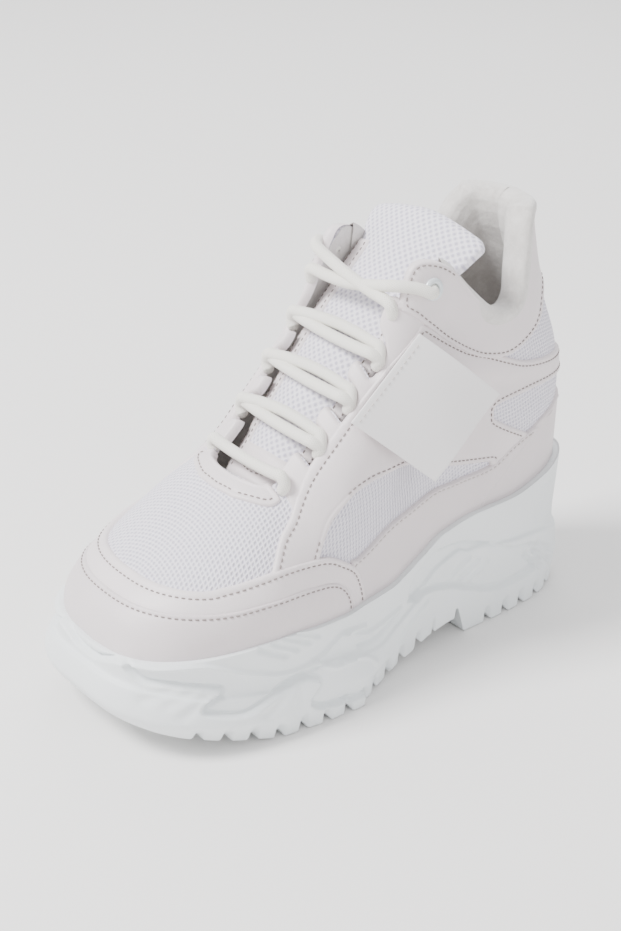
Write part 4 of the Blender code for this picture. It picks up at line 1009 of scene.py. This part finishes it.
def sole():
    """The stepped sole: rim, moulded wall, lugs and tread."""
    loops = []
    for side in (1, -1):
        ats = spaced(0, END, 0.85)
        points, out = surface(ats, side, np.array([0.0]))
        edge, out = points[:, 0], unit(out[:, 0] * (1, 1, 0))
        col = [sole_table(k, ats) for k in range(10)]
        under = col[6] * TOE_SPRING + col[7] * ARCH_RISE + col[8] * HEEL_BEVEL
        flare = col[3] * TOE_BUMPER + col[4] * HEEL_FLARE + (1 - col[3] - col[4]) * BALL_FLARE
        flare = flare * col[1 if side > 0 else 2] - SEAT
        reach, z = wall_profile(edge_height(ats), under, flare, col[9], col[5])
        run = run_of(edge[:, :2])
        outside = ease((np.arange(WALL_ROWS)[:, None] - RIM_ROWS) / 4.0)
        runs = np.broadcast_to(run, z.shape)
        reach = reach + outside * relief(runs.ravel(), z.ravel()).reshape(z.shape)
        along = run_of((edge + out * reach[-1][:, None])[:, :2])
        groove = np.exp(-(np.abs(along % LUG_PITCH - LUG_PITCH / 2) / LUG_HALF) ** 3)
        groove *= ((ats <= WAIST[0]) | (ats >= WAIST[1])) & (run > FIRST_LUG)
        reach = reach - LUG_BITE * groove * (1 - ease((z - under - 3.5) / 6.0)) * outside
        wall = edge[None] + out[None] * reach[..., None]
        raised = under + LUG_RISE * groove
        wall[..., 2] = np.maximum(z, raised)
        middle = np.stack((0 * under, np.clip(edge[:, 1], *TREAD_ENDS), under), -1)
        rows = [wall]
        for share in (0.02, 0.08, 0.18, 0.28, 0.32, 0.55, 1.0):
            row = wall[-1] * (1 - share) + middle * share
            row[:, 2] = np.maximum(under, raised) if share < 0.3 else under + 2.0
            rows.append(row[None])
        whole = np.concatenate(rows)
        y = whole[..., 1]
        slope = NOTCH_TOP * np.clip((NOTCH_BACK - y) / (NOTCH_BACK - NOTCH_FRONT) * 1.3, 0, 1)
        slope[(y <= NOTCH_FRONT) | (y >= NOTCH_BACK)] = -1.0
        whole[..., 2] = np.maximum(whole[..., 2], slope)
        loops.append(whole[:, ::side])
    whole = np.concatenate((loops[0], loops[1][:, 1:-1]), 1)
    item = make("sole_unit", whole.reshape(-1, 3), net(*whole.shape[:2], closed=True))
    place(item, SOLE_MAT, "rubber", "sole")


# Tongue, laces, eyelets, label

TONGUE_THICK = 7.0


def tongue_surface(ys, shares, lift):
    """Points of the tongue's top, and its inward directions."""
    col = [curve(TONGUE[:, 0], TONGUE[:, k], ys) for k in range(4)]
    slope = (curve(TONGUE[:, 0], TONGUE[:, 1], ys + 0.01)
             - curve(TONGUE[:, 0], TONGUE[:, 1], ys - 0.01))
    run, rise = 0.02 * LENGTH + 0 * ys, slope * COLLAR_BACK
    size = np.hypot(run, rise)
    inward = np.stack((0 * ys, rise / size, -run / size), -1)[:, None]
    corner = np.clip((ys - (TONGUE[-1, 0] - 0.042)) / 0.042, 0, 1)
    half = col[2] * HEEL_WIDTH * (0.5 + 0.5 * (1 - corner ** 2.6) ** (1 / 2.6))
    x = SLOT_SHIFT + shares[None] * half[:, None]
    y = np.broadcast_to((TOE_BUMPER + ys * LENGTH)[:, None], x.shape)
    z = np.broadcast_to((col[1] * COLLAR_BACK)[:, None], x.shape)
    crown = (col[3] * TONGUE_THICK)[:, None] * shares[None] ** 2
    puff = 0.7 * bump(shares, 0, 0.55)[None] * ease((ys[:, None] - 0.33) / 0.1)
    lumps = 0.3 * np.sin(ys[:, None] * 95) * np.cos(shares[None] * 3.0)
    return np.stack((x, y, z), -1) + inward * (crown - puff - lumps - lift)[..., None], inward


def tongue():
    """The padded tongue with its sewn edges and base."""
    first, final = TONGUE[0, 0], TONGUE[-1, 0]
    ys = first + (final - first) * np.sin(np.linspace(0, math.pi / 2, 130)) ** 0.9
    turn = np.linspace(0, 2 * math.pi, 57)[:-1]
    shares = np.sign(np.cos(turn)) * np.abs(np.cos(turn)) ** 0.55
    across = np.sin(turn)
    depth = TONGUE_THICK / 2 * (1 - np.sign(across) * np.abs(across) ** 0.45)
    top, inward = tongue_surface(ys, shares, 0.0)
    cap = np.sqrt(np.clip((final - ys) / 0.018, 0, 1))[:, None]
    middle = TONGUE_THICK / 2
    depths = middle + (depth[None] - middle) * (0.15 + 0.85 * cap)
    points = top + inward * depths[..., None]
    n, m = points.shape[:2]
    faces = net(n, m, closed=True, flip=True)
    faces += [tuple(range(m))[::-1], tuple(range((n - 1) * m, n * m))]
    u = points[..., 0].ravel() / 10
    v = np.repeat(run_of(points[:, m // 4]) / 10, m)
    item = make("tongue_pad", points.reshape(-1, 3), faces, np.stack((u, v), -1))
    place(item, TONGUE_MAT, "mesh", "tongue")
    for low in (0.70, -0.98):
        tongue_strip("tongue_edge_strip", low, low + 0.28, 0.30, 0.612)
    tongue_strip("tongue_base", -0.93, 0.93, 0.290, 0.338)


def tongue_strip(name, low, high, start, end):
    """A thin leather strip sewn to the tongue."""
    count = max(int((high - low) / 0.03), 8)
    ys = np.linspace(start, end, max(int((end - start) * LENGTH / 1.2), 12))
    shares = np.linspace(low, high, count)
    ends = (np.minimum(ys - start, end - ys) * LENGTH)[:, None]
    sides = np.minimum(shares - low, high - shares) * 0.37 * HEEL_WIDTH
    lift = 1.3 * np.sqrt(np.clip(np.minimum(ends, sides) / 0.8, 0, 1)) - 0.2
    points, _ = tongue_surface(ys, shares, lift)
    item = make(name, points.reshape(-1, 3), net(*points.shape[:2], flip=True))
    place(item, LEATHER_MAT, "leather")
    if low < 0 < high:
        turn = np.linspace(-1, 1, 60)
        wanted = [(0.8 * turn, start + (end - start) * (0.30 + 0.55 * turn ** 2))]
    else:
        wanted = [(np.full(len(ys), (low + high) / 2 + s * (high - low) * 0.34), ys)
                  for s in (-1, 1)]
    for share_line, y_line in wanted:
        path, base = [np.array([tongue_surface(np.array([y]), np.array([s]), high)[0][0, 0]
                                for s, y in zip(share_line, y_line)]) for high in (1.2, 0.0)]
        stitch_path(path, path - base, 0.0, True)


def stitch_path(path, out, lift, dark):
    """Stitches along a path that lies on no panel."""
    rows = np.column_stack((path, out, np.zeros((len(path), 2))))
    stitch_along(rows, [(i, i + 1) for i in range(len(path) - 1)], lift, everywhere, dark)


def cord(route, radius=LACE / 2, sides=14, parts=7):
    """A round cord along a route: rows of x, y, z and texture place, and faces."""
    path = soft(np.array(route), parts)
    ways, run = unit(np.gradient(path, axis=0)), run_of(path)
    from_end = np.clip(np.minimum(run, run[-1] - run) / radius, 0.02, 1)
    sizes = radius * np.sqrt(1 - (1 - from_end) ** 2)
    across = np.cross(ways[0], (0.0, -0.7, 0.7))
    rings = []
    for middle, way, size in zip(path, ways, sizes):
        across = unit(across - way * np.dot(across, way))
        rings.append(ring(middle, across * size, np.cross(across, way) * size, sides, 1))
    u, v = np.meshgrid(np.arange(sides + 1) / sides, run)
    rows = np.column_stack((np.concatenate(rings), u.ravel(), v.ravel()))
    return rows, net(len(path), sides + 1, flip=True)


# The lace ends' points beyond the slot and down. Then the top crossing: across towards its own
# side, back, up, and how much of the upper end's lift it has.
LACE_DIVE = ((-2.6, 8.6), (-0.9, 6.6), (0.3, 3.4))
TOP_CROSSING = ((25, 1, 6.5, 1), (14, 0, 3.5, 1), (0, -1, 0.5, 1), (-14, -1, -0.5, 0.5),
                (-25, -1, -0.5, 0), (-27, 0, -4.5, 0), (-26, 1, -8.5, 0))


def laces():
    """The laces as they run from slot to slot and over to the top eyelets."""
    pieces = []
    for number, (along, up, half, up_middle) in enumerate(LACE_ROWS):
        (y, z), (_, middle) = side_view(((along, up), (along, up_middle)))
        for way in ((0,) if number == 0 else (-1, 1)):
            route = [(SLOT_SHIFT - half - x, y + 0.5, z - fall) for x, fall in LACE_DIVE]
            for share in (-0.93, -0.78, -0.45, 0.0, 0.45, 0.78, 0.93):
                bow = way * (2.1 * (1 - share * share) + 0.9)
                turn = 1.6 * way * share if number else 0.0
                height = middle + (z - middle) * share * share + 1.4 * (1 - share ** 2)
                route.append((share * half + SLOT_SHIFT, y + 0.68 * bow + turn,
                              height + 0.73 * bow))
            route += [(SLOT_SHIFT + half + x, y + 0.5, z - fall) for x, fall in LACE_DIVE[::-1]]
            pieces.append(cord(route))
    y, z = side_view(TOP_SLOT)
    for side in (1, -1):
        middle, way = eyelet_frame(side)
        over = 0.0 if side > 0 else 3.2   # the inner end crosses over the other one
        route = [middle - way * 3.0, middle + way * 1.0, middle + way * 4.6 + (0, -2.5, -1.0),
                 np.array((middle[0] + side, (middle[1] + y) / 2, z + 6 + over))]
        route += [np.array((SLOT_SHIFT + side * x, y + back, z + high + over * share))
                  for x, back, high, share in TOP_CROSSING]
        pieces.append(cord(route))
    rows, faces = merged(pieces)
    item = make("laces", rows[:, :3], faces, rows[:, 3:])
    place(item, LACE_MAT, "lace", "lace_row_1", "lace_row_2", "lace_row_3", "lace_row_4", "lace_top")


def eyelet_frame(side):
    """Middle of a top eyelet on the last, and its outward direction."""
    y, z = side_view(EYELET_PLACE)
    points, out = surface(np.linspace(11.5, 13.5, 60), side, np.linspace(0.4, 0.98, 90))
    gap = np.hypot(points[..., 1] - y, points[..., 2] - z)
    i, k = np.unravel_index(np.argmin(gap), gap.shape)
    return points[i, k], unit(out[i, k])


def lathe(name, middle, way, shape, sides=40):
    """A turned ring: shape is radius and height pairs."""
    across = unit(np.cross(way, (0, 0, 1.0)))
    up = np.cross(across, way)
    points = np.concatenate([ring(middle + way * high, across * radius, up * radius, sides)
                             for radius, high in shape])
    faces = net(len(shape) + 1, sides, closed=True, flip=True)
    return make(name, points, [tuple(i % len(points) for i in face) for face in faces])


def eyelets():
    """The rings of the top eyelets, round in section."""
    section = [(3.7 + 1.3 * math.cos(a), 2.7 + 1.2 * math.sin(a))
               for a in (2 * math.pi * k / 18 for k in range(18))]
    for side, word in ((1, "lateral"), (-1, "medial")):
        middle, way = eyelet_frame(side)
        item = lathe("eyelet_ring_" + word, middle, way, section)
        place(item, RING_MAT, "ring", "eyelet_" + word)


LABEL_WIDE, LABEL_LONG, LABEL_THICK, LABEL_SEAT = 49.0, 49.0, 1.2, 38.3
LABEL_UP, LABEL_BACK = 5.5, 4.0
LABEL_SKEW, LABEL_RAISED = math.radians(7), math.radians(24)


def label():
    """The bare cloth label, sewn at its front edge and a little curled."""
    low, high = np.insert(side_view(LABEL_SEAM), 0, 0.0, 1)
    along = unit(high - low)
    down = np.array((0, along[2], -along[1])) * math.cos(LABEL_SKEW) + along * math.sin(LABEL_SKEW)
    hang = down * math.cos(LABEL_RAISED) + np.array((math.sin(LABEL_RAISED), 0, 0))
    face = unit(np.cross(along, hang))
    face = -face if face[0] < 0 else face
    start = (low + high) / 2
    start[0] = LABEL_SEAT
    start = start + along * LABEL_UP - hang * LABEL_BACK
    u, v = np.meshgrid(np.linspace(-0.5, 0.5, 33), np.linspace(0, 1, 37), indexing="ij")
    curl = 1.6 * np.sin(v * math.pi) * (0.7 + 0.6 * u) - 1.5 * v ** 3 * (0.5 + u)
    curl = curl + 0.5 * np.sin(u * 7 + v * 3) * v
    points = (start + along * (LABEL_WIDE * u)[..., None] + hang * (LABEL_LONG * v)[..., None]
              + face * (curl + LABEL_THICK / 2)[..., None])
    item = make("side_label_cloth", points.reshape(-1, 3), net(*u.shape))
    place(item, LABEL_MAT, "cloth", "side_label")
    wall = item.modifiers.new("cloth", "SOLIDIFY")
    wall.thickness, wall.offset = 0.0009, 0
    rounding = item.modifiers.new("edge", "BEVEL")
    rounding.width, rounding.segments = 0.0003, 2
    path = points[1:-1, 2]
    stitch_path(path, np.broadcast_to(face, path.shape), 0.5, False)


# Rings of a stitch: place along it, size, and height over the leather.
STITCH_FORM = ((0.0, 0.55, -0.30), (0.18, 1.0, 0.05), (0.82, 1.0, 0.05), (1.0, 0.55, -0.30))


def stitches():
    """Every dash of thread as a short rounded bar."""
    # The dark dashes carry painted seam and needle-hole shade in their thread colour.
    for dark, material, name in ((True, THREAD_AND_SHADE_MAT, "stitches_dark"),
                                 (False, PALE_THREAD, "stitches_pale")):
        bars = []
        for a, b, out, shade in STITCHES:
            if shade == dark:
                across = unit(np.cross(b - a, out)) * 0.29
                rings = [ring(a + (b - a) * where + out * rise, across * size, out * 0.26 * size, 6)
                         for where, size, rise in STITCH_FORM]
                bars.append((np.concatenate(rings), net(len(rings), 6, closed=True, flip=True)))
        if bars:
            place(make(name, *merged(bars)), material, "leather")


def insole():
    """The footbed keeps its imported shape."""
    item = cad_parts["insole"]
    item.data.materials.clear()
    item.data.materials.append(LINING_MAT)


# Floor, light and camera

# Name, place in metres, size and power.
LIGHTS = (("key", (-0.5, -1.3, 1.7), 0.7, 88), ("fill", (1.7, 0.1, 0.8), 1.2, 8),
          ("back", (-0.9, 1.0, 1.3), 1.2, 12))
LIT_POINT = (0, 0, 0.08)


def light(name, where, size, power):
    """A square area light turned to the shoe."""
    lamp = bpy.data.lights.new(name, "AREA")
    lamp.size, lamp.energy = size, power
    item = bpy.data.objects.new(name, lamp)
    item.location = where
    item.rotation_euler = (Vector(LIT_POINT) - Vector(where)).to_track_quat("-Z", "Y").to_euler()
    bpy.context.scene.collection.objects.link(item)


def studio():
    """Pale paper underneath and behind, and soft light from the front left."""
    bpy.ops.mesh.primitive_plane_add(size=60.0, location=(0, 0, -0.0004))
    floor = bpy.context.object
    floor.name = "floor"
    material, _, shader = nodes_of("paper", (0.86, 0.845, 0.83), 0.9)
    shader.inputs["Specular IOR Level"].default_value = 0.1
    floor.data.materials.append(material)
    for lamp in LIGHTS:
        light(*lamp)
    world = bpy.data.worlds.new("studio")
    world.use_nodes = True
    sky = world.node_tree.nodes["Background"].inputs
    sky["Color"].default_value, sky["Strength"].default_value = (0.97, 0.98, 1.0, 1), 1.18
    bpy.context.scene.world = world


PHOTO = (621, 931)
FOCAL_PIXELS = 1464.68
AZIMUTH, TILT, ROLL = (math.radians(d) for d in (51.470, 23.938, -1.400))
STANCE = np.array((533.704, -344.576, 441.922))
AIM = (61.5, 62.5)   # turn to the middle of the shoe, in the photo's pixels right and down
CLOSER = 1.2


def camera():
    """The camera fitted to the photo."""
    a, e = AZIMUTH, TILT
    right = Vector((math.cos(a), math.sin(a), 0))
    up = Vector((-math.sin(a) * math.sin(e), math.cos(a) * math.sin(e), math.cos(e)))
    c, s = math.cos(ROLL), math.sin(ROLL)
    right, up = c * right - s * up, s * right + c * up
    back = right.cross(up)
    back = (FOCAL_PIXELS * back - AIM[0] * right + AIM[1] * up).normalized()
    right = (right - back * right.dot(back)).normalized()
    up = back.cross(right)
    lens = bpy.data.cameras.new("camera")
    lens.sensor_fit, lens.sensor_width, lens.sensor_height = "AUTO", 36.0, 36.0
    lens.lens = CLOSER * FOCAL_PIXELS / PHOTO[1] * 36.0
    lens.clip_start, lens.clip_end = 0.01, 50.0
    item = bpy.data.objects.new("camera", lens)
    item.matrix_world = Matrix.Translation(Vector(((STANCE + SHIFT) * 0.001).tolist())) @ Matrix(
        (right, up, back)).transposed().to_4x4()
    bpy.context.scene.collection.objects.link(item)
    bpy.context.scene.camera = item


for build in (base_upper, toe_panels, throat_strips, side_panels, collar_band, collar_lining, sole,
              tongue, laces, eyelets, label, insole, stitches, studio, camera):
    build()
